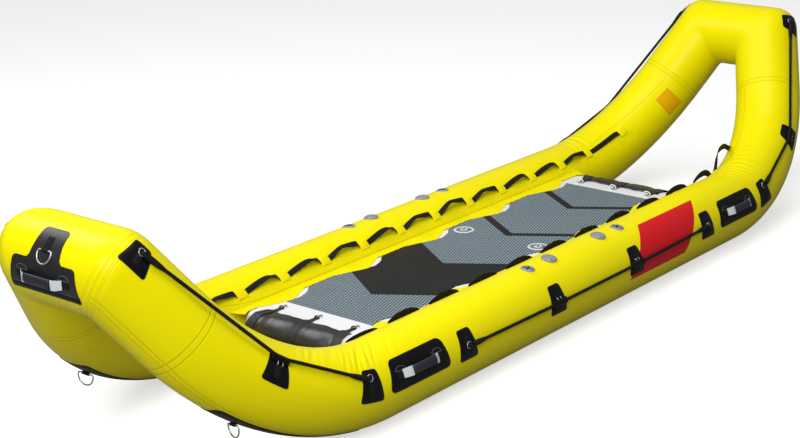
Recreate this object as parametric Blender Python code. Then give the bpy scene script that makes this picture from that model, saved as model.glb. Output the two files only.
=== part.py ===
"""Inshore rescue boat: an inflatable tube ring with raised open ends and a drop-stitch floor.

Metres. +X is the bow, +Y is port and +Z is up. The boat rests on its two side tubes at Z = 0.
A place on a side tube is given by its run, the length along the tube's centreline from midships,
and its angle, in degrees from the tube's top towards the outside.
"""

import math

import bmesh
import bpy
from mathutils import Vector

# Tube ring
TUBE_RADIUS = 0.156
TUBE_SIDES = 24
FACET_ANGLE = 360.0 / TUBE_SIDES
HALF_SPACING = 0.4543
FLAT_HALF = 1.2589
BEND_RADIUS = 0.9227
BEND_ANGLE = math.radians(57.94)
BEND_LEAN = math.radians(24.89)
BEND_STEPS = 16
RISE_STRAIGHT = 0.2885
FILLET_OUTER = 0.10
FILLET_INNER = 0.012
CORNER_SHARES = (0.0, 0.5, 1.0)
GAP = 0.0003
RUN_BEND_END = FLAT_HALF + BEND_RADIUS * BEND_ANGLE
RUN_CORNER = RUN_BEND_END + RISE_STRAIGHT
BEND_STEP = BEND_RADIUS * BEND_ANGLE / BEND_STEPS

# Floor and deck
FLOOR_THICKNESS = 0.10
FLOOR_TOP = 0.220
FLOOR_HALF_WIDTH = 0.2992
FLOOR_HALF_LENGTH = 1.18
FLOOR_CORNER = 0.055
FLOOR_EDGE_DEPTH = 0.030
FLOOR_CORNER_STEPS = 4
FLOOR_NOSE_STEPS = 6
PAD_THICKNESS = 0.0037
PAD_BOW = 0.983
PAD_STERN = -1.003
PAD_EDGE = 0.269
CHEVRON_SLOPE = 0.65
CHEVRON_NOSE = 0.729
CHEVRON_TAIL = 0.262
STRIPE_APEXES = (-0.185, -0.664)
STRIPE_WIDTH = 0.044
FLAP_THICKNESS = 0.002
FLAP_EDGE = 0.277
FLAP_OUTER = 0.3128
FLAP_HALF_LENGTH = 1.18
FIRST_TAB = 0.966
TAB_PITCH = 0.4625
TAB_COUNT = 5
FLOOR_VALVE_RADIUS = 0.046
FLOOR_VALVE_X = -0.145
FLOOR_VALVE_Y = 0.201
FLANGE_PROFILE = ((FLOOR_VALVE_RADIUS, 0.0), (FLOOR_VALVE_RADIUS, 0.004), (0.037, 0.0055))
VALVE_CUT = (-0.002, 0.010)
EDGE_PASSES = 12

# Each tab's edge, and the pad's edge beside it, as (offset towards the bow, distance from the middle)
TAB_EDGE = ((0.143, 0.277), (0.082, 0.251), (0.038, 0.233), (0.0, 0.220), (-0.022, 0.220),
            (-0.059, 0.239), (-0.103, 0.257), (-0.144, 0.277))
PAD_NOTCH = ((0.150, 0.269), (0.082, 0.2495), (0.038, 0.2315), (0.0, 0.2185), (-0.025, 0.217),
             (-0.050, 0.213), (-0.089, 0.224), (-0.118, 0.236), (-0.148, 0.261), (-0.172, 0.269))

# Covers over the floor's ends, with their straps
COVER_START = 1.097
COVER_HALF_WIDTH = 0.215
COVER_THICKNESS = 0.014
STRAP_START = 1.045
STRAP_RAMP = 0.012
STRAP_WIDTH = 0.022
STRAP_THICKNESS = 0.002
STRAP_PLACES = (-0.187, 0.0, 0.187)
STRAP_SINK = 0.0005

# Patches, lines and handles on the tubes
PATCH_THICKNESS = 0.002
CORNER_PATCH_LIFT = 0.0008
LINE_RADIUS = 0.0063
LINE_SINK = 0.0022
LINE_SIDES = 8
LINE_PATCH = ((45.0, 0.036), (60.0, 0.043), (75.0, 0.049), (90.0, 0.055))
CORNER_LINE_PATCH = ((45.0, 0.034), (60.0, 0.043), (75.0, 0.052), (90.0, 0.062))
MID_PATCHES = (-0.8842, -0.2914, 0.2914, 0.8842)
MID_ROUTE = ((-0.875, 75.0), (-0.70, 78.0), (-0.2914, 78.0), (0.2914, 78.0), (0.70, 78.0),
             (0.875, 75.0))
END_PATCHES = (1.420, 1.850)
CORNER_PATCH = 2.506
BOW_ROUTE = ((1.450, 64.0), (1.54, 56.5), (1.64, 52.4), (1.735, 52.7), (1.85, 54.6), (1.98, 49.6),
             (2.06, 48.6), (2.15, 52.6), (2.27, 60.6), (2.385, 64.4), (2.495, 68.5))
STERN_ROUTE = ((1.450, 63.0), (1.55, 59.0), (1.68, 61.2), (1.81, 67.0), (1.90, 66.7), (2.00, 64.4),
               (2.16, 65.0), (2.315, 68.5), (2.42, 69.4), (2.500, 69.0))
LINE_STEP = 0.06
MID_LINE_STEP = 0.30
HANDLE_RUN = 1.165
HANDLE_ANGLE = 69.0
HANDLE_PATCH = ((45.0, 0.148), (60.0, 0.157), (75.0, 0.165), (90.0, 0.171))
HANDLE_PROFILE = ((-0.126, 0.0014, 0.0013), (-0.112, 0.0030, 0.0013), (-0.074, 0.0240, 0.0015),
                  (-0.066, 0.0260, 0.0080), (0.066, 0.0260, 0.0080), (0.074, 0.0240, 0.0015),
                  (0.112, 0.0030, 0.0013), (0.126, 0.0014, 0.0013))
HANDLE_COLUMNS = 6
GRIP_HALF_WIDTH = 0.018
GRIP_SIDES = 8

# The patch on each cross tube: half width against half facets from the tube's outermost line
CROSS_STEP = FACET_ANGLE / 2.0
CROSS_PATCH = ((-1.0, 0.060), (0.0, 0.065), (2.0, 0.066), (4.0, 0.077), (4.4, 0.092), (4.8, 0.152),
               (6.0, 0.159), (8.0, 0.167), (10.0, 0.174), (10.5, 0.170))
CROSS_COLUMNS = (-1.0, -0.92, -0.84, -0.40, 0.40, 0.84, 0.92, 1.0)
CROSS_HANDLE_ANGLE = 92.0
CROSS_RING_ANGLE = 58.0

# Grab webbing along the tubes' inner faces
WEBBING_ANGLE = -44.3
WEBBING_HALF_ANGLE = 4.6
WEBBING_THICKNESS = 0.002
WEBBING_LIFT = 0.0012
LOOP_PITCH = 0.2485
LOOP_GAP = 0.0511
LOOP_COUNT = 11
LOOP_RISE = 0.036
END_LOOP_START = 1.412
END_LOOP_END = 1.640
END_LOOP_RISE = 0.006
LOOP_SHAPE = ((0.0, 0.0), (0.16, 0.52), (0.40, 1.0), (0.60, 0.96), (0.84, 0.42), (1.0, 0.0))

# Wear patches under the bends
WEAR_FIRST_STATION = 2
WEAR_LAST_STATION = 12
WEAR_HALF_ANGLES = (20.0, 24.0, 25.0, 25.0, 25.0, 25.0, 26.0, 30.0, 30.0, 30.0, 25.0)
WEAR_LIFT = 0.0009
TOW_RING_RUN = 1.850

# D-rings and the sleeves that carry them
WIRE_RADIUS = 0.003
WIRE_SIDES = 6
RING_HALF_WIDTH = 0.028
RING_DEPTH = 0.047
RING_BOW_STEPS = 8
RING_BAR_SHARE = 0.80
RING_KNEE_SHARE = 0.20
SLEEVE_INNER = 0.0035
SLEEVE_OUTER = 0.0065
SLEEVE_SINK = 0.0018
SLEEVE_HALF_LENGTH = 0.015
SLEEVE_SIDES = 12
CROSS_RING_TILT = math.radians(6.5)

# Valves on the side tubes
DOME_PROFILE = ((0.033, 0.0), (0.033, 0.004), (0.025, 0.0105), (0.012, 0.0140))
DOME_X = 0.180
PLUG_PROFILE = ((0.030, 0.0), (0.030, 0.004), (0.025, 0.0078), (0.010, 0.0090))
PLUG_X = 0.328
VALVE_SHIFT = -0.012
VALVE_ANGLE = FACET_ANGLE / 2.0
VALVE_LIFT = GAP - TUBE_RADIUS * (1.0 - math.cos(math.radians(VALVE_ANGLE)))
VALVE_SIDES = 16

ENDS = {"bow": 1, "stern": -1}
SIDES = {"port": 1, "starboard": -1}

# Looks as (colour, roughness, metallic)
YELLOW_COATING = ((0.86, 0.78, 0.0, 1.0), 0.38, 0.0)
BLACK_COATING = ((0.012, 0.012, 0.014, 1.0), 0.60, 0.0)
BLACK_WEBBING = ((0.012, 0.012, 0.014, 1.0), 0.75, 0.0)
BLACK_FOAM = ((0.012, 0.012, 0.014, 1.0), 0.75, 0.0)
SLATE_FOAM = ((0.155, 0.19, 0.225, 1.0), 0.75, 0.0)
WHITE_COATING = ((0.78, 0.78, 0.80, 1.0), 0.45, 0.0)
GREY_PLASTIC = ((0.42, 0.43, 0.45, 1.0), 0.45, 0.0)
CLEAR_PLASTIC = ((0.70, 0.72, 0.73, 1.0), 0.30, 0.0)
STEEL = ((0.62, 0.62, 0.63, 1.0), 0.25, 1.0)


def clear_scene():
    """Remove every object of the scene that the script runs in."""
    for item in list(bpy.data.objects):
        bpy.data.objects.remove(item, do_unlink=True)


def make_material(name, colour, roughness, metallic=0.0):
    """Return a Principled material of one colour."""
    material = bpy.data.materials.new(name)
    material.use_nodes = True
    shader = material.node_tree.nodes["Principled BSDF"]
    shader.inputs["Base Color"].default_value = colour
    shader.inputs["Roughness"].default_value = roughness
    shader.inputs["Metallic"].default_value = metallic
    material.diffuse_color = colour
    return material


def finish_part(name, bm, look, origin=Vector(), smooth=False):
    """Turn a bmesh into a named object with its own material and its origin at a point."""
    colour, roughness, metallic = look
    bmesh.ops.recalc_face_normals(bm, faces=bm.faces[:])
    bmesh.ops.translate(bm, verts=bm.verts[:], vec=-origin)
    for face in bm.faces:
        face.smooth = smooth
    mesh = bpy.data.meshes.new(name)
    bm.to_mesh(mesh)
    bm.free()
    part = bpy.data.objects.new(name, mesh)
    part.location = origin
    part.data.materials.append(make_material(name, colour, roughness, metallic))
    bpy.context.scene.collection.objects.link(part)
    return part


def combine(part, other, operation):
    """Join or cut a part with another object, which is kept hidden as the operand."""
    other.hide_render = True
    other.display_type = "WIRE"
    boolean = part.modifiers.new(operation.lower(), "BOOLEAN")
    boolean.operation = operation
    boolean.object = other
    boolean.solver = "EXACT"


def loft(bm, rings):
    """Skin a row of point rings of one size and close both ends."""
    loops = [[bm.verts.new(point) for point in ring] for ring in rings]
    count = len(loops[0])
    for near, far in zip(loops, loops[1:]):
        for index in range(count):
            after = (index + 1) % count
            bm.faces.new((near[index], near[after], far[after], far[index]))
    bm.faces.new(loops[0][::-1])
    bm.faces.new(loops[-1])


def loop_loft(bm, rings):
    """Skin a closed row of point rings, such as a wire ring."""
    loops = [[bm.verts.new(point) for point in ring] for ring in rings]
    count = len(loops[0])
    for near, far in zip(loops, loops[1:] + loops[:1]):
        for index in range(count):
            after = (index + 1) % count
            bm.faces.new((near[index], near[after], far[after], far[index]))


def plate(bm, under, over):
    """Close a plate between two grids of points of one size."""
    low = [[bm.verts.new(point) for point in row] for row in under]
    high = [[bm.verts.new(point) for point in row] for row in over]
    last_row = len(low) - 1
    last_column = len(low[0]) - 1
    for row in range(last_row):
        for column in range(last_column):
            places = ((row, column), (row, column + 1), (row + 1, column + 1), (row + 1, column))
            bm.faces.new([low[r][c] for r, c in places])
            bm.faces.new([high[r][c] for r, c in reversed(places)])
    rim = [(row, 0) for row in range(last_row)]
    rim += [(last_row, column) for column in range(last_column)]
    rim += [(row, last_column) for row in range(last_row, 0, -1)]
    rim += [(0, column) for column in range(last_column, 0, -1)]
    for (r0, c0), (r1, c1) in zip(rim, rim[1:] + rim[:1]):
        bm.faces.new((low[r0][c0], low[r1][c1], high[r1][c1], high[r0][c0]))


def prism(bm, outline, bottom, top):
    """Extrude a flat outline between two heights."""
    low = [bm.verts.new((x, y, bottom)) for x, y in outline]
    high = [bm.verts.new((x, y, top)) for x, y in outline]
    for index in range(len(outline)):
        after = (index + 1) % len(outline)
        bm.faces.new((low[index], low[after], high[after], high[index]))
    bm.faces.new(low[::-1])
    bm.faces.new(high)


def tube_frame(run, end, side):
    """Return centre, tangent, top and outward directions of a side tube at a run."""
    forward = Vector((end, 0.0, 0.0))
    climb = Vector((0.0, -side * math.sin(BEND_LEAN), math.cos(BEND_LEAN)))
    past_flat = max(run - FLAT_HALF, 0.0)
    turn = min(past_flat / BEND_RADIUS, BEND_ANGLE)
    tangent = forward * math.cos(turn) + climb * math.sin(turn)
    centre = Vector((end * min(run, FLAT_HALF), side * HALF_SPACING, TUBE_RADIUS))
    centre += forward * BEND_RADIUS * math.sin(turn)
    centre += climb * BEND_RADIUS * (1.0 - math.cos(turn))
    centre += tangent * max(run - RUN_BEND_END, 0.0)
    level = Vector((0.0, side, 0.0))
    outward = (level - tangent * level.dot(tangent)).normalized()
    top = tangent.cross(outward) * end * side
    return centre, tangent, top, outward


def corner_turn():
    """Return the angle between a rise and the cross tube."""
    tangent = tube_frame(RUN_CORNER, 1, 1)[1]
    return math.acos(-tangent.y)


def mitre_travel(angle):
    """Return how far past the corner's centre a wall line of a tube runs to the mitre."""
    half_turn = corner_turn() / 2.0
    fillet = fillet_radius(angle)
    return corner_start(angle) + fillet * half_turn


def fillet_radius(angle):
    """Return the rounding of a corner's wall line, widest on the outside."""
    share = (1.0 + math.sin(math.radians(angle))) / 2.0
    return FILLET_INNER + (FILLET_OUTER - FILLET_INNER) * share


def corner_start(angle):
    """Return how far past the corner's centre a wall line stays straight."""
    half_tangent = math.tan(corner_turn() / 2.0)
    reach = TUBE_RADIUS * half_tangent * math.sin(math.radians(angle))
    return reach - fillet_radius(angle) * half_tangent


def wall_point(frame, angle, travel, lift):
    """Return a point on a tube's wall near its mitred corner.

    The frame is the corner's centre with the directions along the tube towards the corner, of its
    top and of the corner's outside. Travel is measured from the centre along the tube.
    """
    centre, along, top, outward = frame
    radians = math.radians(angle)
    straight = min(travel, corner_start(angle))
    swing = max(travel - corner_start(angle), 0.0) / fillet_radius(angle)
    base = centre + along * straight
    base += (top * math.cos(radians) + outward * math.sin(radians)) * TUBE_RADIUS
    fillet = fillet_radius(angle)
    base += along * fillet * math.sin(swing) - outward * fillet * (1.0 - math.cos(swing))
    leaning = outward * math.cos(swing) + along * math.sin(swing)
    return base + (top * math.cos(radians) + leaning * math.sin(radians)) * lift


def skin_point(run, angle, lift, end, side):
    """Return a point over a side tube's skin."""
    if run > RUN_BEND_END:
        return wall_point(tube_frame(RUN_CORNER, end, side), angle, run - RUN_CORNER, lift)
    centre, _, top, outward = tube_frame(run, end, side)
    radians = math.radians(angle)
    return centre + (top * math.cos(radians) + outward * math.sin(radians)) * (TUBE_RADIUS + lift)


def skin_normal(run, angle, end, side):
    """Return the outward direction of a side tube's skin."""
    return (skin_point(run, angle, 1.0, end, side) - skin_point(run, angle, 0.0, end, side)).normalized()


def cross_phase():
    """Return the angle from straight up to a cross tube's outermost line, in degrees."""
    tangent = tube_frame(RUN_CORNER, 1, 1)[1]
    return math.degrees(math.atan2(tangent.x, tangent.z))


def cross_frame(end, side):
    """Return the frame of a cross tube's corner at one side."""
    centre = tube_frame(RUN_CORNER, end, side)[0]
    phase = math.radians(cross_phase())
    outward = Vector((end * math.sin(phase), 0.0, math.cos(phase)))
    top = Vector((-end * math.cos(phase), 0.0, math.sin(phase)))
    return centre, Vector((0.0, side, 0.0)), top, outward


def cross_point(across, angle, lift, end):
    """Return a point over a cross tube's skin, its angle from straight up towards its end."""
    side = 1 if across >= 0.0 else -1
    frame = cross_frame(end, side)
    travel = abs(across) - abs(frame[0].y)
    return wall_point(frame, angle - cross_phase() + 90.0, travel, lift)


def section_angles(sides):
    """Return evenly spaced angles in degrees."""
    return [360.0 * index / sides for index in range(sides)]


def side_tube(name, side):
    """Build the straight middle of a side tube."""
    bm = bmesh.new()
    half = FLAT_HALF - GAP / 2.0
    rings = [[skin_point(run, angle, 0.0, 1, side) for angle in section_angles(TUBE_SIDES)]
             for run in (-half, half)]
    loft(bm, rings)
    finish_part(name, bm, YELLOW_COATING, smooth=True)


def rise_tube(name, end, side):
    """Build a tube's bend and straight rise up to its mitred corner."""
    bm = bmesh.new()
    angles = section_angles(TUBE_SIDES)
    runs = [FLAT_HALF + GAP / 2.0]
    runs += [FLAT_HALF + BEND_STEP * step for step in range(1, BEND_STEPS + 1)]
    rings = [[skin_point(run, angle, 0.0, end, side) for angle in angles] for run in runs]
    for share in CORNER_SHARES:
        rings.append([corner_wall_point(angle, share, end, side) for angle in angles])
    loft(bm, rings)
    finish_part(name, bm, YELLOW_COATING, smooth=True)


def corner_wall_point(angle, share, end, side):
    """Return a rise's wall point at a share of the way round its corner's rounding."""
    first = corner_start(angle)
    last = mitre_travel(angle) - GAP / 2.0
    travel = first + (last - first) * share
    return skin_point(RUN_CORNER + travel, angle, 0.0, end, side)


def cross_tube(name, end):
    """Build the tube across one raised end, mitred to both rises."""
    bm = bmesh.new()
    rings = []
    for side, shares in ((1, CORNER_SHARES[::-1]), (-1, CORNER_SHARES)):
        for share in shares:
            rings.append([cross_wall_point(angle, share, end, side)
                          for angle in section_angles(TUBE_SIDES)])
    loft(bm, rings)
    finish_part(name, bm, YELLOW_COATING, smooth=True)


def cross_wall_point(angle, share, end, side):
    """Return a cross tube's wall point at a share of the way round its corner's rounding."""
    first = corner_start(angle)
    last = mitre_travel(angle) - GAP / 2.0
    return wall_point(cross_frame(end, side), angle, first + (last - first) * share, 0.0)


def floor_outline():
    """Return the floor's plan outline, with its inward directions."""
    outline = []
    corners = ((1, 1, 0.0), (-1, 1, 90.0), (-1, -1, 180.0), (1, -1, 270.0))
    for end, side, first in corners:
        centre_x = end * (FLOOR_HALF_LENGTH - FLOOR_CORNER)
        centre_y = side * (FLOOR_HALF_WIDTH - FLOOR_CORNER)
        for step in range(FLOOR_CORNER_STEPS + 1):
            turn = math.radians(first + 90.0 * step / FLOOR_CORNER_STEPS)
            direction = Vector((math.cos(turn), math.sin(turn), 0.0))
            outline.append((Vector((centre_x, centre_y, 0.0)) + direction * FLOOR_CORNER, direction))
    return outline


def floor_panel():
    """Build the drop-stitch floor with oval edges."""
    bm = bmesh.new()
    radius = FLOOR_THICKNESS / 2.0
    rings = []
    for step in range(FLOOR_NOSE_STEPS + 1):
        turn = math.radians(-90.0 + 180.0 * step / FLOOR_NOSE_STEPS)
        inset = FLOOR_EDGE_DEPTH * (1.0 - math.cos(turn))
        height = Vector((0.0, 0.0, FLOOR_TOP - radius + radius * math.sin(turn)))
        rings.append([point - direction * inset + height for point, direction in floor_outline()])
    loft(bm, rings)
    finish_part("floor_panel", bm, WHITE_COATING, smooth=False)


def tab_places():
    """Return the places of the floor's lacing tabs from bow to stern."""
    return [FIRST_TAB - TAB_PITCH * index for index in range(TAB_COUNT)]


def edge_at(line, place):
    """Return the distance from the middle at a place, read along an edge line."""
    for (x0, y0), (x1, y1) in zip(line, line[1:]):
        if x1 <= place <= x0:
            return y0 + (y1 - y0) * (x0 - place) / (x0 - x1)
    return line[-1][1]


def edge_line(points, level, limit):
    """Return an edge from bow to stern that dips at each tab, cut at a limit from midships."""
    whole = [(FLOOR_HALF_LENGTH, level)]
    whole += [(tab + offset, distance) for tab in tab_places() for offset, distance in points]
    whole.append((-FLOOR_HALF_LENGTH, level))
    inside = [(x, y) for x, y in whole if -limit < x < limit]
    return [(limit, edge_at(whole, limit))] + inside + [(-limit, edge_at(whole, -limit))]


def flap(name, side):
    """Build the scalloped strip that ties the floor's edge to a side tube."""
    bm = bmesh.new()
    line = edge_line(TAB_EDGE, FLAP_EDGE, FLAP_HALF_LENGTH)
    low = FLOOR_TOP + GAP
    high = low + FLAP_THICKNESS
    under = [[Vector((x, side * y, low)), Vector((x, side * FLAP_OUTER, low))] for x, y in line]
    over = [[Vector((x, side * y, high)), Vector((x, side * FLAP_OUTER, high))] for x, y in line]
    plate(bm, under, over)
    finish_part(name, bm, YELLOW_COATING)


def chevron_end(apex, line):
    """Return where a chevron line from an apex meets the pad's edge."""
    half = PAD_EDGE
    for _ in range(EDGE_PASSES):
        half = edge_at(line, apex - CHEVRON_SLOPE * half)
    return apex - CHEVRON_SLOPE * half, half


def pad_piece(name, nose, tail, look):
    """Build one piece of the deck pad between two chevron lines or straight ends.

    Nose and tail are (place of the line on the middle, whether it is a chevron).
    """
    bm = bmesh.new()
    line = edge_line(PAD_NOTCH, PAD_EDGE, -PAD_STERN)
    ends = []
    for place, is_chevron in (nose, tail):
        ends.append(chevron_end(place, line) if is_chevron else (place, edge_at(line, place)))
    inner = [(x, y) for x, y in line if ends[1][0] < x < ends[0][0]]
    port = [ends[0]] + inner + [ends[1]]
    outline = [(nose[0], 0.0)] + port + [(tail[0], 0.0)]
    outline += [(x, -y) for x, y in reversed(port)]
    prism(bm, outline, FLOOR_TOP + GAP, FLOOR_TOP + GAP + PAD_THICKNESS)
    return finish_part(name, bm, look)


def deck_pad():
    """Build the deck pad's grey pieces, its black chevron and its two stripes."""
    half_gap = GAP / 2.0
    stripe_one, stripe_two = STRIPE_APEXES
    bow = (PAD_BOW, False)
    stern = (PAD_STERN, False)
    pad_piece("pad_bow", bow, (CHEVRON_NOSE + half_gap, True), SLATE_FOAM)
    pad_piece("pad_chevron", (CHEVRON_NOSE - half_gap, True), (CHEVRON_TAIL + half_gap, True),
              BLACK_FOAM)
    middle = pad_piece("pad_middle", (CHEVRON_TAIL - half_gap, True), (stripe_one + half_gap, True),
                       SLATE_FOAM)
    pad_piece("pad_stripe_fore", (stripe_one - half_gap, True),
              (stripe_one - STRIPE_WIDTH + half_gap, True), BLACK_FOAM)
    pad_piece("pad_aft", (stripe_one - STRIPE_WIDTH - half_gap, True), (stripe_two + half_gap, True),
              SLATE_FOAM)
    pad_piece("pad_stripe_aft", (stripe_two - half_gap, True),
              (stripe_two - STRIPE_WIDTH + half_gap, True), BLACK_FOAM)
    pad_piece("pad_stern", (stripe_two - STRIPE_WIDTH - half_gap, True), stern, SLATE_FOAM)
    bm = bmesh.new()
    for side in SIDES.values():
        centre = Vector((FLOOR_VALVE_X, side * FLOOR_VALVE_Y, FLOOR_TOP))
        loft(bm, disc_rings(centre, [(FLOOR_VALVE_RADIUS + GAP, height) for height in VALVE_CUT]))
    cutter = finish_part("valve_openings", bm, SLATE_FOAM)
    combine(middle, cutter, "DIFFERENCE")


def disc_rings(centre, profile, axis=Vector((0.0, 0.0, 1.0))):
    """Return the rings of a round piece from (radius, height) pairs along an axis."""
    across = axis.orthogonal().normalized()
    beside = axis.cross(across)
    rings = []
    for radius, height in profile:
        ring = []
        for angle in section_angles(VALVE_SIDES):
            turn = math.radians(angle)
            direction = across * math.cos(turn) + beside * math.sin(turn)
            ring.append(centre + axis * height + direction * radius)
        rings.append(ring)
    return rings


def floor_valve(name, side):
    """Build an inflation valve's flange, set in the deck pad."""
    bm = bmesh.new()
    centre = Vector((FLOOR_VALVE_X, side * FLOOR_VALVE_Y, FLOOR_TOP + GAP))
    loft(bm, disc_rings(centre, FLANGE_PROFILE))
    finish_part(name, bm, CLEAR_PLASTIC, smooth=False)


def tube_valve(name, place, side, profile):
    """Build a valve's cap on top of a side tube."""
    bm = bmesh.new()
    seat = skin_point(place, VALVE_ANGLE, VALVE_LIFT, 1, side)
    axis = skin_normal(place, VALVE_ANGLE, 1, side)
    loft(bm, disc_rings(seat, profile, axis))
    finish_part(name, bm, GREY_PLASTIC)


def nose_profile(offset, start):
    """Return points round the floor's end at an offset, from a start on its top to its underside."""
    radius = FLOOR_THICKNESS / 2.0
    centre_x = FLOOR_HALF_LENGTH - FLOOR_EDGE_DEPTH
    centre_z = FLOOR_TOP - radius
    points = [(start, FLOOR_TOP + offset)]
    for step in range(FLOOR_NOSE_STEPS + 1):
        turn = math.radians(90.0 - 180.0 * step / FLOOR_NOSE_STEPS)
        points.append((centre_x + (FLOOR_EDGE_DEPTH + offset) * math.cos(turn),
                       centre_z + (radius + offset) * math.sin(turn)))
    return points


def wrap_strip(bm, end, inner, outer, low_y, high_y):
    """Add a strip of one width between two profiles round the floor's end."""
    under = [[Vector((end * x, y, z)) for y in (low_y, high_y)] for x, z in inner]
    over = [[Vector((end * x, y, z)) for y in (low_y, high_y)] for x, z in outer]
    plate(bm, under, over)


def end_cover(name, end):
    """Build the black cover over the floor's end, with the three straps that hold it."""
    bm = bmesh.new()
    outer_lift = GAP + COVER_THICKNESS
    wrap_strip(bm, end, nose_profile(GAP, COVER_START), nose_profile(outer_lift, COVER_START),
               -COVER_HALF_WIDTH, COVER_HALF_WIDTH)
    cover = finish_part(name, bm, BLACK_COATING)
    straps = bmesh.new()
    for place in STRAP_PLACES:
        low = outer_lift - STRAP_SINK
        inner = [(STRAP_START, FLOOR_TOP + GAP), (COVER_START - STRAP_RAMP, FLOOR_TOP + GAP)]
        inner += nose_profile(low, COVER_START)
        outer = [(STRAP_START, FLOOR_TOP + GAP + STRAP_THICKNESS),
                 (COVER_START - STRAP_RAMP - STRAP_THICKNESS, FLOOR_TOP + GAP + STRAP_THICKNESS)]
        outer += nose_profile(low + STRAP_THICKNESS, COVER_START - STRAP_THICKNESS)
        wrap_strip(straps, end, inner, outer, place - STRAP_WIDTH / 2.0, place + STRAP_WIDTH / 2.0)
    combine(cover, finish_part(name + "_straps", straps, BLACK_COATING), "UNION")


def skin_patch(bm, centre_run, rows, columns, lift, end, side):
    """Add a welded patch to a side tube from rows of (angle, half width)."""
    grids = []
    for height in (lift, lift + PATCH_THICKNESS):
        grid = []
        for angle, half in rows:
            steps = [centre_run - half + 2.0 * half * column / columns for column in range(columns + 1)]
            grid.append([skin_point(run, angle, height, end, side) for run in steps])
        grids.append(grid)
    plate(bm, *grids)


def smooth_route(route, step):
    """Return evenly spaced (run, angle) pairs on a smooth curve through a route's points."""
    padded = [route[0]] + list(route) + [route[-1]]
    result = []
    for before, start, finish, after in zip(padded, padded[1:], padded[2:], padded[3:]):
        pieces = max(1, round((finish[0] - start[0]) / step))
        for piece in range(pieces):
            share = piece / pieces
            result.append(tuple(blend_four(before[axis], start[axis], finish[axis], after[axis], share)
                                for axis in (0, 1)))
    result.append(tuple(route[-1]))
    return result


def blend_four(before, start, finish, after, share):
    """Return a Catmull-Rom blend between the middle two of four values."""
    square = share * share
    cube = square * share
    return 0.5 * (2.0 * start + (finish - before) * share
                  + (2.0 * before - 5.0 * start + 4.0 * finish - after) * square
                  + (3.0 * start - before - 3.0 * finish + after) * cube)


def oval_ring(centre, along, normal, half_width, half_thickness, sides):
    """Return an oval section square to a direction, with a corner pointing down its normal."""
    across = along.cross(normal).normalized()
    upright = across.cross(along).normalized()
    ring = []
    for angle in section_angles(sides):
        turn = math.radians(angle)
        ring.append(centre + across * half_width * math.sin(turn)
                    - upright * half_thickness * math.cos(turn))
    return ring


def tangents(points):
    """Return the direction of a path at each of its points."""
    result = []
    for index in range(len(points)):
        before = points[max(index - 1, 0)]
        after = points[min(index + 1, len(points) - 1)]
        result.append((after - before).normalized())
    return result


def perimeter_line(name, route, step, patches, lift, end, side):
    """Build one length of the outside grab line, with the patches that hold it.

    Patches are (run, rows, columns), and lift is their height over the skin.
    """
    bm = bmesh.new()
    height = lift + PATCH_THICKNESS + LINE_RADIUS - LINE_SINK
    places = smooth_route(route, step)
    points = [skin_point(run, angle, height, end, side) for run, angle in places]
    rings = []
    for (run, angle), point, along in zip(places, points, tangents(points)):
        normal = skin_normal(run, angle, end, side)
        rings.append(oval_ring(point, along, normal, LINE_RADIUS, LINE_RADIUS, LINE_SIDES))
    loft(bm, rings)
    line = finish_part(name, bm, BLACK_WEBBING)
    holders = bmesh.new()
    for place, rows, columns in patches:
        skin_patch(holders, place, rows, columns, lift, end, side)
    combine(line, finish_part(name + "_patches", holders, BLACK_COATING), "UNION")


def handle_grip(bm, place_at):
    """Add a handle's arch, from a function that gives a point and normal at an offset and lift."""
    places = [place_at(offset, lift) for offset, lift, _ in HANDLE_PROFILE]
    points = [point for point, _ in places]
    rings = []
    for (point, normal), along, (_, _, half) in zip(places, tangents(points), HANDLE_PROFILE):
        rings.append(oval_ring(point, along, normal, GRIP_HALF_WIDTH, half, GRIP_SIDES))
    loft(bm, rings)


def side_handle(name, end, side):
    """Build a carry handle with its patch on a side tube."""
    def place_at(offset, lift):
        run = HANDLE_RUN + offset
        point = skin_point(run, HANDLE_ANGLE, GAP + lift, end, side)
        return point, skin_normal(run, HANDLE_ANGLE, end, side)

    bm = bmesh.new()
    skin_patch(bm, HANDLE_RUN, HANDLE_PATCH, HANDLE_COLUMNS, GAP, end, side)
    patch = finish_part(name, bm, BLACK_COATING)
    grip = bmesh.new()
    handle_grip(grip, place_at)
    combine(patch, finish_part(name + "_grip", grip, BLACK_COATING), "UNION")


def add_sleeve(bm, centre, axis, normal):
    """Add the short tube of webbing that a D-ring's bar turns in."""
    across = axis.cross(normal).normalized()
    rings = []
    order = ((-1, SLEEVE_OUTER), (1, SLEEVE_OUTER), (1, SLEEVE_INNER), (-1, SLEEVE_INNER))
    for way, radius in order:
        ring = []
        for angle in section_angles(SLEEVE_SIDES):
            turn = math.radians(angle)
            ring.append(centre + axis * way * SLEEVE_HALF_LENGTH
                        + (normal * math.cos(turn) + across * math.sin(turn)) * radius)
        rings.append(ring)
    loop_loft(bm, rings)


def sleeve_lift(patch_lift):
    """Return the height of a D-ring's bar over the skin."""
    return patch_lift + PATCH_THICKNESS + SLEEVE_OUTER - SLEEVE_SINK


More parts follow.
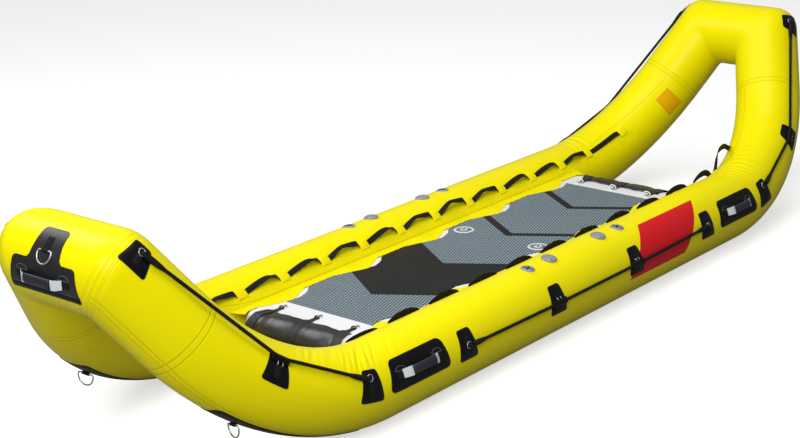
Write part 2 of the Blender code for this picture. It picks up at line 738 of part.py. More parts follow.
def cross_handle(name, end):
    """Build the carry handle, D-ring sleeve and shaped patch on a cross tube."""
    def place_at(offset, lift):
        point = cross_point(offset, CROSS_HANDLE_ANGLE, CORNER_PATCH_LIFT + lift, end)
        return point, cross_normal(CROSS_HANDLE_ANGLE, end)

    bm = bmesh.new()
    grids = []
    for lift in (CORNER_PATCH_LIFT, CORNER_PATCH_LIFT + PATCH_THICKNESS):
        grid = []
        for steps, half in CROSS_PATCH:
            angle = cross_phase() + CROSS_STEP * steps
            grid.append([cross_point(half * column, angle, lift, end) for column in CROSS_COLUMNS])
        grids.append(grid)
    plate(bm, *grids)
    patch = finish_part(name, bm, BLACK_COATING)
    fittings = bmesh.new()
    handle_grip(fittings, place_at)
    add_sleeve(fittings, cross_ring_centre(end), Vector((0.0, 1.0, 0.0)),
               cross_normal(CROSS_RING_ANGLE, end))
    combine(patch, finish_part(name + "_fittings", fittings, BLACK_COATING), "UNION")


def cross_normal(angle, end):
    """Return the outward direction of a cross tube's skin away from its corners."""
    radians = math.radians(angle)
    return Vector((end * math.sin(radians), 0.0, math.cos(radians)))


def cross_ring_centre(end):
    """Return the middle of a cross tube's D-ring bar."""
    return cross_point(0.0, CROSS_RING_ANGLE, sleeve_lift(CORNER_PATCH_LIFT), end)


def tow_ring_centre(end, side):
    """Return the middle of an underside D-ring's bar."""
    return skin_point(TOW_RING_RUN, 180.0, sleeve_lift(WEAR_LIFT), end, side)


def tow_ring_axis(end, side):
    """Return the direction of an underside D-ring's bar, which lies across the tube."""
    return tube_frame(TOW_RING_RUN, end, side)[3]


def wear_patch(name, end, side):
    """Build the black wear patch under a bend, with its D-ring sleeve."""
    bm = bmesh.new()
    grids = []
    stations = range(WEAR_FIRST_STATION, WEAR_LAST_STATION + 1)
    for lift in (WEAR_LIFT, WEAR_LIFT + PATCH_THICKNESS):
        grid = []
        for station, half in zip(stations, WEAR_HALF_ANGLES):
            run = FLAT_HALF + BEND_STEP * station
            angles = [180.0 - half, 180.0 - FACET_ANGLE, 180.0, 180.0 + FACET_ANGLE, 180.0 + half]
            grid.append([skin_point(run, angle, lift, end, side) for angle in angles])
        grids.append(grid)
    plate(bm, *grids)
    patch = finish_part(name, bm, BLACK_COATING)
    sleeve = bmesh.new()
    add_sleeve(sleeve, tow_ring_centre(end, side), tow_ring_axis(end, side),
               skin_normal(TOW_RING_RUN, 180.0, end, side))
    combine(patch, finish_part(name + "_sleeve", sleeve, BLACK_COATING), "UNION")


def d_ring(name, centre, axis, hang):
    """Build a wire D-ring with its bar on an axis and its bow hanging in a direction."""
    bm = bmesh.new()
    leg = RING_DEPTH - RING_HALF_WIDTH
    bar = RING_HALF_WIDTH * RING_BAR_SHARE
    knee = RING_HALF_WIDTH * RING_KNEE_SHARE
    path = [(-bar, 0.0), (0.0, 0.0), (bar, 0.0), (RING_HALF_WIDTH, knee)]
    for step in range(RING_BOW_STEPS + 1):
        turn = math.pi * step / RING_BOW_STEPS
        path.append((RING_HALF_WIDTH * math.cos(turn), leg + RING_HALF_WIDTH * math.sin(turn)))
    path.append((-RING_HALF_WIDTH, knee))
    normal = axis.cross(hang).normalized()
    points = [centre + axis * across + hang * down for across, down in path]
    rings = []
    for index, point in enumerate(points):
        before = points[index - 1]
        after = points[(index + 1) % len(points)]
        along = (after - before).normalized()
        rings.append(oval_ring(point, along, normal, WIRE_RADIUS, WIRE_RADIUS, WIRE_SIDES))
    loop_loft(bm, rings)
    finish_part(name, bm, STEEL, origin=centre)


def cross_ring(name, end):
    """Build the D-ring that rests on a cross tube's patch."""
    tilt = math.radians(CROSS_RING_ANGLE) + CROSS_RING_TILT
    hang = Vector((end * math.cos(tilt), 0.0, -math.sin(tilt)))
    d_ring(name, cross_ring_centre(end), Vector((0.0, 1.0, 0.0)), hang)


def tow_ring(name, end, side):
    """Build the D-ring that hangs under a bend."""
    axis = tow_ring_axis(end, side)
    down = Vector((0.0, 0.0, -1.0))
    hang = (down - axis * down.dot(axis)).normalized()
    d_ring(name, tow_ring_centre(end, side), axis, hang)


def webbing_profile():
    """Return (run, rise) pairs of the grab webbing from stern to bow."""
    loops = []
    first = -LOOP_PITCH * (LOOP_COUNT - 1) / 2.0
    for index in range(LOOP_COUNT):
        centre = first + LOOP_PITCH * index
        half = (LOOP_PITCH - LOOP_GAP) / 2.0
        loops.append((centre - half, centre + half, LOOP_RISE))
    loops.insert(0, (-END_LOOP_END, -END_LOOP_START, END_LOOP_RISE))
    loops.append((END_LOOP_START, END_LOOP_END, END_LOOP_RISE))
    profile = [(loops[0][0] - LOOP_GAP / 2.0, 0.0)]
    for start, finish, rise in loops:
        for share, height in LOOP_SHAPE:
            profile.append((start + (finish - start) * share, rise * height))
    profile.append((loops[-1][1] + LOOP_GAP / 2.0, 0.0))
    return profile


def grab_webbing(name, side):
    """Build the run of webbing loops on a side tube's inner face."""
    bm = bmesh.new()
    grids = []
    for thickness in (0.0, WEBBING_THICKNESS):
        grid = []
        for run, rise in webbing_profile():
            end = 1 if run >= 0.0 else -1
            row = [skin_point(abs(run), WEBBING_ANGLE + way * WEBBING_HALF_ANGLE,
                              WEBBING_LIFT + thickness, end, side) for way in (-1, 1)]
            grid.append([point + Vector((0.0, 0.0, rise)) for point in row])
        grids.append(grid)
    plate(bm, *grids)
    finish_part(name, bm, BLACK_WEBBING)


def build_tubes():
    """Build the tube ring."""
    for side_name, side in SIDES.items():
        side_tube("side_tube_" + side_name, side)
        for end_name, end in ENDS.items():
            rise_tube("rise_tube_" + end_name + "_" + side_name, end, side)
    for end_name, end in ENDS.items():
        cross_tube("cross_tube_" + end_name, end)


def build_floor():
    """Build the floor, its deck pad, flaps, end covers and valves."""
    floor_panel()
    deck_pad()
    for side_name, side in SIDES.items():
        flap("floor_flap_" + side_name, side)
        floor_valve("floor_valve_" + side_name, side)
    for end_name, end in ENDS.items():
        end_cover("end_cover_" + end_name, end)


def build_lines():
    """Build the outside grab lines and the inside webbing."""
    middle_patches = [(place, LINE_PATCH, 1) for place in MID_PATCHES]
    end_patches = [(place, LINE_PATCH, 3) for place in END_PATCHES]
    end_patches.append((CORNER_PATCH, CORNER_LINE_PATCH, 8))
    routes = {"bow": BOW_ROUTE, "stern": STERN_ROUTE}
    for side_name, side in SIDES.items():
        name = "grab_line_middle_" + side_name
        perimeter_line(name, MID_ROUTE, MID_LINE_STEP, middle_patches, GAP, 1, side)
        for end_name, end in ENDS.items():
            name = "grab_line_" + end_name + "_" + side_name
            perimeter_line(name, routes[end_name], LINE_STEP, end_patches, CORNER_PATCH_LIFT, end, side)
        grab_webbing("grab_webbing_" + side_name, side)


def build_fittings():
    """Build the carry handles, wear patches, D-rings and tube valves."""
    for end_name, end in ENDS.items():
        cross_handle("carry_handle_" + end_name, end)
        cross_ring("d_ring_" + end_name, end)
        for side_name, side in SIDES.items():
            both = end_name + "_" + side_name
            side_handle("carry_handle_" + both, end, side)
            wear_patch("wear_patch_" + both, end, side)
            tow_ring("d_ring_" + both, end, side)
            tube_valve("relief_valve_" + both, end * DOME_X + VALVE_SHIFT, side, DOME_PROFILE)
            tube_valve("air_valve_" + both, end * PLUG_X + VALVE_SHIFT, side, PLUG_PROFILE)


def main():
    """Build the whole boat."""
    clear_scene()
    build_tubes()
    build_floor()
    build_lines()
    build_fittings()


main()
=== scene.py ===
"""Inshore rescue boat: the finish of its air tubes, deck, lines, handles and fittings.

The bow is +X, port is +Y and up is +Z. Most of what lies on a tube is cut flat first, with x along the
tube, y the way round it from its top towards its outside and z the height over its skin, and is then
laid on the tube. Lengths are metres and angles round a tube are degrees from its top.
"""

import logging
import random
from contextlib import contextmanager
from dataclasses import dataclass, field
from enum import Enum
from functools import cached_property
from math import acos, atan2, copysign, cos, degrees, exp, pi, radians, sin, sqrt, tan
from typing import Callable, Iterator, Sequence

import bmesh
import bpy
from mathutils import Matrix, Vector


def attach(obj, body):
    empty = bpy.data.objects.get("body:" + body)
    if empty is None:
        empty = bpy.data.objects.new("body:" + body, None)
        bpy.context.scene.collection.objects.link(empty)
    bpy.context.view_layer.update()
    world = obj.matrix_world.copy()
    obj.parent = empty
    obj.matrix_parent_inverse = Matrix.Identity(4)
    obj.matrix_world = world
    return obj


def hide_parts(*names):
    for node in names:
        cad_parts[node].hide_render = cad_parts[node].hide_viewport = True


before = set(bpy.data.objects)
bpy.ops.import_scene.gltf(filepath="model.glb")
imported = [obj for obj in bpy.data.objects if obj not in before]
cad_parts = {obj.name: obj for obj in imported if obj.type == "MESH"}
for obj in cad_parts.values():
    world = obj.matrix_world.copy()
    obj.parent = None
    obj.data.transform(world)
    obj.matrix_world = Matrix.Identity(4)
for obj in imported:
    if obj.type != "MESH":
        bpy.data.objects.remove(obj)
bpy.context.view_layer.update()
log = logging.getLogger("boat")

BOAT = "boat"
Piece = bpy.types.Object
Socket = bpy.types.NodeSocket
Place = Callable[[Vector], Vector]
Pair = tuple[float, float]
Colour = tuple[float, float, float, float]


class Way(Enum):
    """A way along or across the boat, whose value is its sign."""

    def __str__(self) -> str:
        """Return its name in lower case."""
        return self.name.lower()


class Side(Way):
    """A side of the boat, with its sign along Y."""

    PORT = 1
    STARBOARD = -1


class End(Way):
    """An end of the boat, with its sign along X."""

    BOW = 1
    STERN = -1

    @property
    def seam_shift(self) -> float:
        """Return the shift that keeps the mitre's seam lines off the stern, which has none."""
        return 0.0 if self is End.BOW else 0.05


class Part(Enum):
    """What an edit-mode selection is made of."""

    VERT = "VERT"
    EDGE = "EDGE"
    FACE = "FACE"


# Tools

def activate(*pieces: Piece) -> None:
    """Select pieces alone and make the first one active.

    Args:
        pieces: The pieces, the active one first.
    """
    bpy.ops.object.select_all(action="DESELECT")
    for piece in pieces:
        piece.select_set(True)
    bpy.context.view_layer.objects.active = pieces[0]


def everything() -> None:
    """Select all of the piece in edit mode."""
    bpy.ops.mesh.select_all(action="SELECT")


@contextmanager
def editing(piece: Piece, part: Part = Part.FACE) -> Iterator[None]:
    """Hold one piece in edit mode, at first with all of it selected.

    Args:
        piece: The piece to edit.
        part: What the selection is made of.

    Returns:
        The context.
    """
    activate(piece)
    bpy.ops.object.mode_set(mode="EDIT")
    bpy.ops.mesh.select_mode(type=part.value)
    everything()
    yield
    bpy.ops.object.mode_set(mode="OBJECT")
    bpy.ops.object.select_all(action="DESELECT")


def pick(piece: Piece, part: Part, test: Callable[[object], bool]) -> None:
    """Select in edit mode what passes a test.

    Args:
        piece: The piece in edit mode.
        part: What is tested.
        test: Says whether a vertex, edge or face is selected.
    """
    bpy.ops.mesh.select_mode(type=part.value)
    bpy.ops.mesh.select_all(action="DESELECT")
    mesh = bmesh.from_edit_mesh(piece.data)
    group = {Part.VERT: mesh.verts, Part.EDGE: mesh.edges, Part.FACE: mesh.faces}[part]
    for item in group:
        if test(item):
            item.select_set(True)
    mesh.select_flush_mode()
    bmesh.update_edit_mesh(piece.data)


def named(piece: Piece, name: str) -> Piece:
    """Name a piece and its mesh, and return it."""
    piece.name = piece.data.name = name
    return piece


def take(name: str) -> Piece:
    """Return the primitive that was just added, named and with its place in its mesh.

    Args:
        name: Its name.

    Returns:
        The piece.
    """
    piece = named(bpy.context.active_object, name)
    piece.data.transform(piece.matrix_world)
    piece.matrix_world = Matrix.Identity(4)
    while piece.data.uv_layers:
        piece.data.uv_layers.remove(piece.data.uv_layers[0])
    return piece


def copy_of(piece: Piece, name: str) -> Piece:
    """Return a copy of a piece with a mesh of its own.

    Args:
        piece: The piece.
        name: The copy's name.

    Returns:
        The copy.
    """
    twin = piece.copy()
    twin.data = piece.data.copy()
    bpy.context.collection.objects.link(twin)
    return named(twin, name)


def discard(*pieces: Piece) -> None:
    """Remove patterns that have been copied."""
    for piece in pieces:
        bpy.data.objects.remove(piece, do_unlink=True)


def shift(piece: Piece, x: float = 0.0, y: float = 0.0, z: float = 0.0) -> Piece:
    """Move a piece's mesh and return the piece."""
    piece.data.transform(Matrix.Translation((x, y, z)))
    return piece


def keep_layout(piece: Piece, flat: Callable[[bpy.types.MeshVertex], Sequence[float]] = lambda v: v.co.xy) -> None:
    """Store the flat place of each vertex, its own x and y unless told otherwise, as the UV map in metres.

    Args:
        piece: The piece.
        flat: What gives a vertex its flat place.
    """
    layer = piece.data.uv_layers.new(name="layout")
    for loop in piece.data.loops:
        layer.data[loop.index].uv = flat(piece.data.vertices[loop.vertex_index])


def face_outwards(piece: Piece) -> None:
    """Turn a closed piece's faces outwards."""
    with editing(piece):
        bpy.ops.mesh.normals_make_consistent(inside=False)


def lay(piece: Piece, place: Place) -> Piece:
    """Lay a flat piece in its place, its faces outwards and shaded smooth, and return it.

    Args:
        piece: The flat piece.
        place: What gives a flat point its place.

    Returns:
        The piece.
    """
    for vertex in piece.data.vertices:
        vertex.co = place(vertex.co)
    face_outwards(piece)
    smooth(piece)
    return piece


def smooth(piece: Piece, degrees: float = 35.0) -> None:
    """Shade a piece smooth up to an angle between its faces.

    Args:
        piece: The piece.
        degrees: The widest angle that is shaded over.
    """
    activate(piece)
    bpy.ops.object.shade_smooth_by_angle(angle=radians(degrees))
    piece.select_set(False)


def seal(piece: Piece, threshold: float, capped: bool = True) -> None:
    """Merge a rolled sheet's edges, cap its ends, turn its faces outwards and shade it smooth.

    Args:
        piece: The rolled sheet.
        threshold: The distance within which points merge, in metres.
        capped: Whether its ends are closed.
    """
    with editing(piece, Part.EDGE):
        bpy.ops.mesh.remove_doubles(threshold=threshold)
        if capped:
            everything()
            bpy.ops.mesh.fill_holes(sides=0)
        everything()
        bpy.ops.mesh.normals_make_consistent(inside=False)
    smooth(piece, 50.0)


def thicken(piece: Piece, thickness: float) -> None:
    """Give a sheet its thickness upwards.

    Args:
        piece: The sheet.
        thickness: Its thickness, in metres.
    """
    bpy.context.view_layer.objects.active = piece
    solid = piece.modifiers.new("thickness", "SOLIDIFY")
    solid.thickness = thickness
    solid.offset = 1.0
    bpy.ops.object.modifier_apply(modifier=solid.name)


def join(name: str, pieces: Sequence[Piece]) -> Piece:
    """Join painted pieces into the first one, which keeps every finish, and name it.

    Args:
        name: The joined piece's name.
        pieces: The pieces.

    Returns:
        The joined piece.
    """
    activate(*pieces)
    bpy.ops.object.join()
    pieces[0].select_set(False)
    return named(pieces[0], name)


def slice_across(piece: Piece, axis: int, step: float) -> None:
    """Cut a piece at even places along an axis, so that it can bend there.

    Args:
        piece: The piece.
        axis: The axis, 0 or 1.
        step: The distance between cuts, in metres.
    """
    values = [vertex.co[axis] for vertex in piece.data.vertices]
    low, high = min(values), max(values)
    count = max(1, round((high - low) / step))
    normal = Vector([float(index == axis) for index in range(3)])
    with editing(piece):
        for index in range(1, count):
            everything()
            point = normal * (low + (high - low) * index / count)
            bpy.ops.mesh.bisect(plane_co=point, plane_no=normal)


def plate(name: str, corners: Sequence[Pair], thickness: float, rounding: float,
          rim: float = 0.0006, segments: int = 4) -> Piece:
    """Cut a flat four-sided plate with round corners and a soft upper rim.

    Args:
        name: The plate's name.
        corners: Its corners, near left, near right, far left and far right.
        thickness: Its thickness, upwards from z = 0.
        rounding: How far each corner is cut back.
        rim: The width of the soft rim, or 0 for a sharp one.
        segments: The steps round each corner.

    Returns:
        The plate, with its layout kept.
    """
    bpy.ops.mesh.primitive_plane_add(size=1.0, calc_uvs=False)
    piece = take(name)
    for vertex, (x, y) in zip(piece.data.vertices, corners):
        vertex.co = (x, y, 0.0)
    with editing(piece):
        if rounding:
            bpy.ops.mesh.bevel(offset=rounding, segments=segments, affect="VERTICES")
            everything()
        bpy.ops.mesh.extrude_region_move(TRANSFORM_OT_translate={"value": (0.0, 0.0, thickness)})
        if rim:
            pick(piece, Part.EDGE, lambda edge: min(v.co.z for v in edge.verts) > thickness * 0.5)
            bpy.ops.mesh.bevel(offset=rim, segments=2, affect="EDGES")
    keep_layout(piece)
    return piece


def box_plate(name: str, x: Pair, y: Pair, thickness: float,
              rounding: float, rim: float = 0.0006) -> Piece:
    """Cut a flat rectangular plate between two x and two y values."""
    corners = [(x[0], y[0]), (x[1], y[0]), (x[0], y[1]), (x[1], y[1])]
    return plate(name, corners, thickness, rounding, rim)


def sheet_grid(name: str, columns: int, rows: int) -> Piece:
    """Add a grid of one unit by one, with its low corner at the origin."""
    bpy.ops.mesh.primitive_grid_add(x_subdivisions=columns, y_subdivisions=rows, size=1.0, calc_uvs=False)
    return shift(take(name), 0.5, 0.5)


def drum(name: str, sides: int, radius: float, depth: float, place: Sequence[float] = (0.0, 0.0, 0.0)) -> Piece:
    """Add an upright round block around a place."""
    bpy.ops.mesh.primitive_cylinder_add(vertices=sides, radius=radius, depth=depth, location=place, calc_uvs=False)
    return take(name)


def hose(name: str, points: Sequence[Vector], radii: Pair | Sequence[Pair], sides: int,
         up: Sequence[Vector] = (), closed: bool = False) -> Piece:
    """Roll a grid round a path.

    Args:
        name: The piece's name.
        points: The path.
        radii: The half width across the path and along its up direction, for all points or each.
        sides: The number of sides.
        up: The up direction for all points or each, or nothing to carry one along the path.
        closed: Whether the path returns to its first point.

    Returns:
        The closed piece, with the length along it and round it kept as its layout.
    """
    path = list(points) + ([points[0]] if closed else [])
    sizes = [radii] * len(path) if isinstance(radii[0], float) else radii
    last = len(path) - 1
    alongs = []
    for index in range(len(path)):
        before = path[(index - 1) % last if closed else max(index - 1, 0)]
        after = path[(index + 1) % last if closed else min(index + 1, last)]
        alongs.append((after - before).normalized())
    ups = [up[index % len(up)] for index in range(len(path))] if up else []
    if not ups:
        ups.append(Vector((0.0, 0.0, 1.0)) if abs(alongs[0].z) < 0.9 else Vector((1.0, 0.0, 0.0)))
        for along in alongs[1:]:
            ups.append((ups[-1] - along * ups[-1].dot(along)).normalized())
    lengths = [0.0]
    for near, far in zip(path, path[1:]):
        lengths.append(lengths[-1] + (far - near).length)
    piece = sheet_grid(name, last, sides)
    keep_layout(piece, lambda v: (lengths[round(v.co.x * last)], v.co.y * sum(sizes[0]) * pi))
    for vertex in piece.data.vertices:
        index = round(vertex.co.x * last)
        turn = 2.0 * pi * vertex.co.y
        along = alongs[index]
        across = along.cross(ups[index]).normalized()
        upright = across.cross(along)
        wide, high = sizes[index]
        vertex.co = path[index] + across * wide * cos(turn) + upright * high * sin(turn)
    seal(piece, 0.00002, not closed)
    return piece


def wire_loop(name: str, steps: int, wire: float, sides: int, place: Callable[[float, float], Vector]) -> Piece:
    """Bend a closed ring of wire.

    Args:
        name: The piece's name.
        steps: The number of points.
        wire: The wire's radius.
        sides: The wire's sides.
        place: Gives a point from the cosine and the sine of its turn.

    Returns:
        The ring.
    """
    turns = [2.0 * pi * step / steps for step in range(steps)]
    points = [place(cos(turn), sin(turn)) for turn in turns]
    return hose(name, points, (wire, wire), sides, closed=True)


def spread(low: float, high: float, count: int) -> list[float]:
    """Return even values from low to high, both included."""
    return [low + (high - low) * index / count for index in range(count + 1)]


def blend(points: Sequence[Pair], x: float) -> float:
    """Return a smooth value at x through points of rising x.

    Args:
        points: The points.
        x: Where the value is wanted.

    Returns:
        The value.
    """
    if x <= points[0][0]:
        return points[0][1]
    for (x0, y0), (x1, y1) in zip(points, points[1:]):
        if x <= x1:
            share = (x - x0) / (x1 - x0)
            return y0 + (y1 - y0) * share * share * (3.0 - 2.0 * share)
    return points[-1][1]


# Finishes

class Nodes:
    """A short way to build the nodes of one material or group."""

    def __init__(self, tree: bpy.types.NodeTree) -> None:
        """Start on an empty tree."""
        self.tree = tree

    def feed(self, node: bpy.types.Node, inputs: dict) -> bpy.types.Node:
        """Set a node's inputs, by name or number, to values or output sockets, and return it.

        Args:
            node: The node.
            inputs: The values or sockets, by name or number.

        Returns:
            The node.
        """
        for name, value in inputs.items():
            if isinstance(value, Socket):
                self.tree.links.new(value, node.inputs[name])
            else:
                node.inputs[name].default_value = value
        return node

    def add(self, kind: str, inputs: dict | None = None, **settings: object) -> bpy.types.Node:
        """Add a node of a kind, with its inputs and its properties.

        Args:
            kind: The node's type.
            inputs: Its inputs.
            settings: Its properties.

        Returns:
            The node.
        """
        node = self.tree.nodes.new(kind)
        for name, value in settings.items():
            setattr(node, name, value)
        return self.feed(node, inputs or {})

    def math(self, operation: str, *values: object) -> Socket:
        """Return the result of a math node on values or sockets."""
        return self.add("ShaderNodeMath", dict(enumerate(values)), operation=operation).outputs[0]

    def mix(self, share: object, first: object, second: object) -> Socket:
        """Return a blend of two colours."""
        node = self.add("ShaderNodeMix", {0: share, 6: first, 7: second}, data_type="RGBA")
        return node.outputs[2]

    def ramp(self, value: object, low: float, high: float, start: float = 0.0,
             finish: float = 1.0) -> Socket:
        """Return a value mapped smoothly from one span to another."""
        inputs = {0: value, 1: low, 2: high, 3: start, 4: finish}
        return self.add("ShaderNodeMapRange", inputs, interpolation_type="SMOOTHSTEP").outputs[0]

    def for_eye(self, others: Socket, eye: Socket) -> Socket:
        """Return a shader that the camera sees as one and all other light as another."""
        seen = self.add("ShaderNodeLightPath").outputs["Is Camera Ray"]
        return self.add("ShaderNodeMixShader", {0: seen, 1: others, 2: eye}).outputs[0]

    def group(self, name: str, inputs: dict) -> bpy.types.NodeOutputs:
        """Place a shared node group and return its outputs."""
        return self.add("ShaderNodeGroup", inputs, node_tree=SHARED[name]).outputs


def new_group(name: str, inputs: dict[str, object], *outputs: str) -> tuple[Nodes, bpy.types.NodeOutputs]:
    """Start a node group.

    Args:
        name: The group's name.
        inputs: Default values by input name, a Vector for a vector socket.
        *outputs: The names of the numbers that it gives.

    Returns:
        A builder for it, and the sockets of what it is given.
    """
    tree = bpy.data.node_groups.new(name, "ShaderNodeTree")
    for word, value in inputs.items():
        kind = "NodeSocketVector" if isinstance(value, Vector) else "NodeSocketFloat"
        socket = tree.interface.new_socket(name=word, in_out="INPUT", socket_type=kind)
        if not isinstance(value, Vector):
            socket.default_value = value
    for word in outputs:
        tree.interface.new_socket(name=word, in_out="OUTPUT", socket_type="NodeSocketFloat")
    nodes = Nodes(tree)
    return nodes, nodes.add("NodeGroupInput").outputs


def seam_line_group() -> bpy.types.NodeTree:
    """Return the group that draws one thin line where a coordinate passes a place.

    Returns:
        The group.
    """
    nodes, given = new_group(
        "seam_line", {"Coordinate": 0.0, "Place": 0.0, "Half Width": 0.001, "Softness": 0.001}, "Mask")
    away = nodes.math("ABSOLUTE", nodes.math("SUBTRACT", given["Coordinate"], given["Place"]))
    past = nodes.math("SUBTRACT", away, given["Half Width"])
    share = nodes.math("DIVIDE", past, given["Softness"])
    nodes.add("NodeGroupOutput", {"Mask": nodes.ramp(share, 0.0, 1.0, 1.0, 0.0)})
    return nodes.tree


def wear_group() -> bpy.types.NodeTree:
    """Return the group that gives slow patches, fine grain and light scuffs.

    Returns:
        The group.
    """
    nodes, given = new_group("wear", {"Vector": Vector(), "Patch Scale": 3.0, "Grain Scale": 600.0},
                             "Patches", "Grain", "Scuffs")

    def noise(place: Socket, scale: object, detail: float, roughness: float = 0.5) -> Socket:
        """Return the value of a noise."""
        inputs = {"Vector": place, "Scale": scale, "Detail": detail, "Roughness": roughness}
        return nodes.add("ShaderNodeTexNoise", inputs).outputs["Fac"]

    place = given["Vector"]
    stretch = nodes.add("ShaderNodeVectorMath", {0: place, 1: Vector((5.0, 26.0, 26.0))}, operation="MULTIPLY")
    nodes.add("NodeGroupOutput", {
        "Patches": noise(place, given["Patch Scale"], 3.0, 0.55), "Grain": noise(place, given["Grain Scale"], 2.0),
        "Scuffs": nodes.ramp(noise(stretch.outputs[0], 2.4, 4.0, 0.7), 0.60, 0.74)})
    return nodes.tree


def weave_group() -> bpy.types.NodeTree:
    """Return the group that gives crossed threads at a pitch, on a flat layout in metres.

    Returns:
        The group.
    """
    nodes, given = new_group("weave", {"Vector": Vector(), "Pitch X": 0.002, "Pitch Y": 0.002}, "Height")
    parts = nodes.add("ShaderNodeSeparateXYZ", {0: given["Vector"]}).outputs
    waves = []
    for axis, word in ((0, "Pitch X"), (1, "Pitch Y")):
        turns = nodes.math("DIVIDE", parts[axis], given[word])
        waves.append(nodes.math("SINE", nodes.math("MULTIPLY", turns, 2.0 * pi)))
    nodes.add("NodeGroupOutput", {"Height": nodes.math("MULTIPLY_ADD", nodes.math("MULTIPLY", *waves), 0.5, 0.5)})
    return nodes.tree


def diamonds_group() -> bpy.types.NodeTree:
    """Return the group that raises long diamonds between crossed grooves.

    Returns:
        The group.
    """
    nodes, given = new_group("diamonds", {"Vector": Vector(), "Pitch X": 0.04, "Pitch Y": 0.014}, "Raised")
    parts = nodes.add("ShaderNodeSeparateXYZ", {0: given["Vector"]}).outputs
    ahead = nodes.math("DIVIDE", parts[0], given["Pitch X"])
    across = nodes.math("DIVIDE", parts[1], given["Pitch Y"])
    walls = []
    for operation in ("ADD", "SUBTRACT"):
        turns = nodes.math("MULTIPLY", nodes.math(operation, ahead, across), pi)
        walls.append(nodes.ramp(nodes.math("ABSOLUTE", nodes.math("SINE", turns)), 0.20, 0.62))
    nodes.add("NodeGroupOutput", {"Raised": nodes.math("MINIMUM", *walls)})
    return nodes.tree


@dataclass(frozen=True)
class Finish:
    """A surface with a base colour and light wear.

    Attributes:
        name: The material's name.
        colour: Its base colour.
        roughness: Its mean roughness.
        metallic: 1 for bare metal.
        coat: The weight of its gloss coat.
        shine: How strongly it mirrors, 0.5 for plain plastic.
        grain: The height of its fine grain in metres.
        variety: How far its colour varies.
    """

    name: str
    colour: Colour
    roughness: float = 0.5
    metallic: float = 0.0
    coat: float = 0.0
    shine: float = 0.5
    grain: float = 0.00004
    variety: float = 0.06

    def material(self) -> bpy.types.Material:
        """Return the finish's material, which is built once.

        Returns:
            The material.
        """
        found = bpy.data.materials.get(self.name)
        if found:
            return found
        material = bpy.data.materials.new(self.name)
        material.use_nodes = True
        material.diffuse_color = self.colour
        nodes = Nodes(material.node_tree)
        layout = nodes.add("ShaderNodeUVMap", uv_map="layout").outputs["UV"]
        wear = nodes.group("wear", {"Vector": nodes.add("ShaderNodeTexCoord").outputs["Object"]})
        colour, rough, height = self.surface(nodes, layout, wear)
        bump = nodes.add("ShaderNodeBump", {"Height": height, "Strength": 1.0, "Distance": 1.0})
        nodes.feed(nodes.tree.nodes["Principled BSDF"], {
            "Metallic": self.metallic, "Coat Weight": self.coat, "Coat Roughness": 0.15,
            "Specular IOR Level": self.shine, "Base Color": colour, "Roughness": rough, "Normal": bump.outputs[0]})
        return material

    def tone(self, nodes: Nodes, wear: bpy.types.NodeOutputs) -> Socket:
        """Return the base colour with its slow variation and scuffs.

        Args:
            nodes: The material's nodes.
            wear: What the wear group puts out.

        Returns:
            The colour.
        """
        dark = (*[value * (1.0 - self.variety * 2.0) for value in self.colour[:3]], 1.0)
        light = (*[min(1.0, value * (1.0 + self.variety) + 0.02 * self.variety) for value in self.colour[:3]], 1.0)
        varied = nodes.mix(nodes.ramp(wear["Patches"], 0.35, 0.75, 0.0, 0.5), self.colour, dark)
        return nodes.mix(nodes.math("MULTIPLY", wear["Scuffs"], 0.35), varied, light)

    def rough(self, nodes: Nodes, wear: bpy.types.NodeOutputs) -> Socket:
        """Return the roughness with its wear."""
        slow = nodes.math("MULTIPLY_ADD", wear["Patches"], 0.16, self.roughness - 0.08)
        return nodes.math("MULTIPLY_ADD", wear["Scuffs"], 0.08, slow)

    def surface(self, nodes: Nodes, layout: Socket, wear: bpy.types.NodeOutputs) -> tuple:
        """Return the sockets of colour, roughness and height."""
        height = nodes.math("MULTIPLY", wear["Grain"], self.grain)
        return self.tone(nodes, wear), self.rough(nodes, wear), height


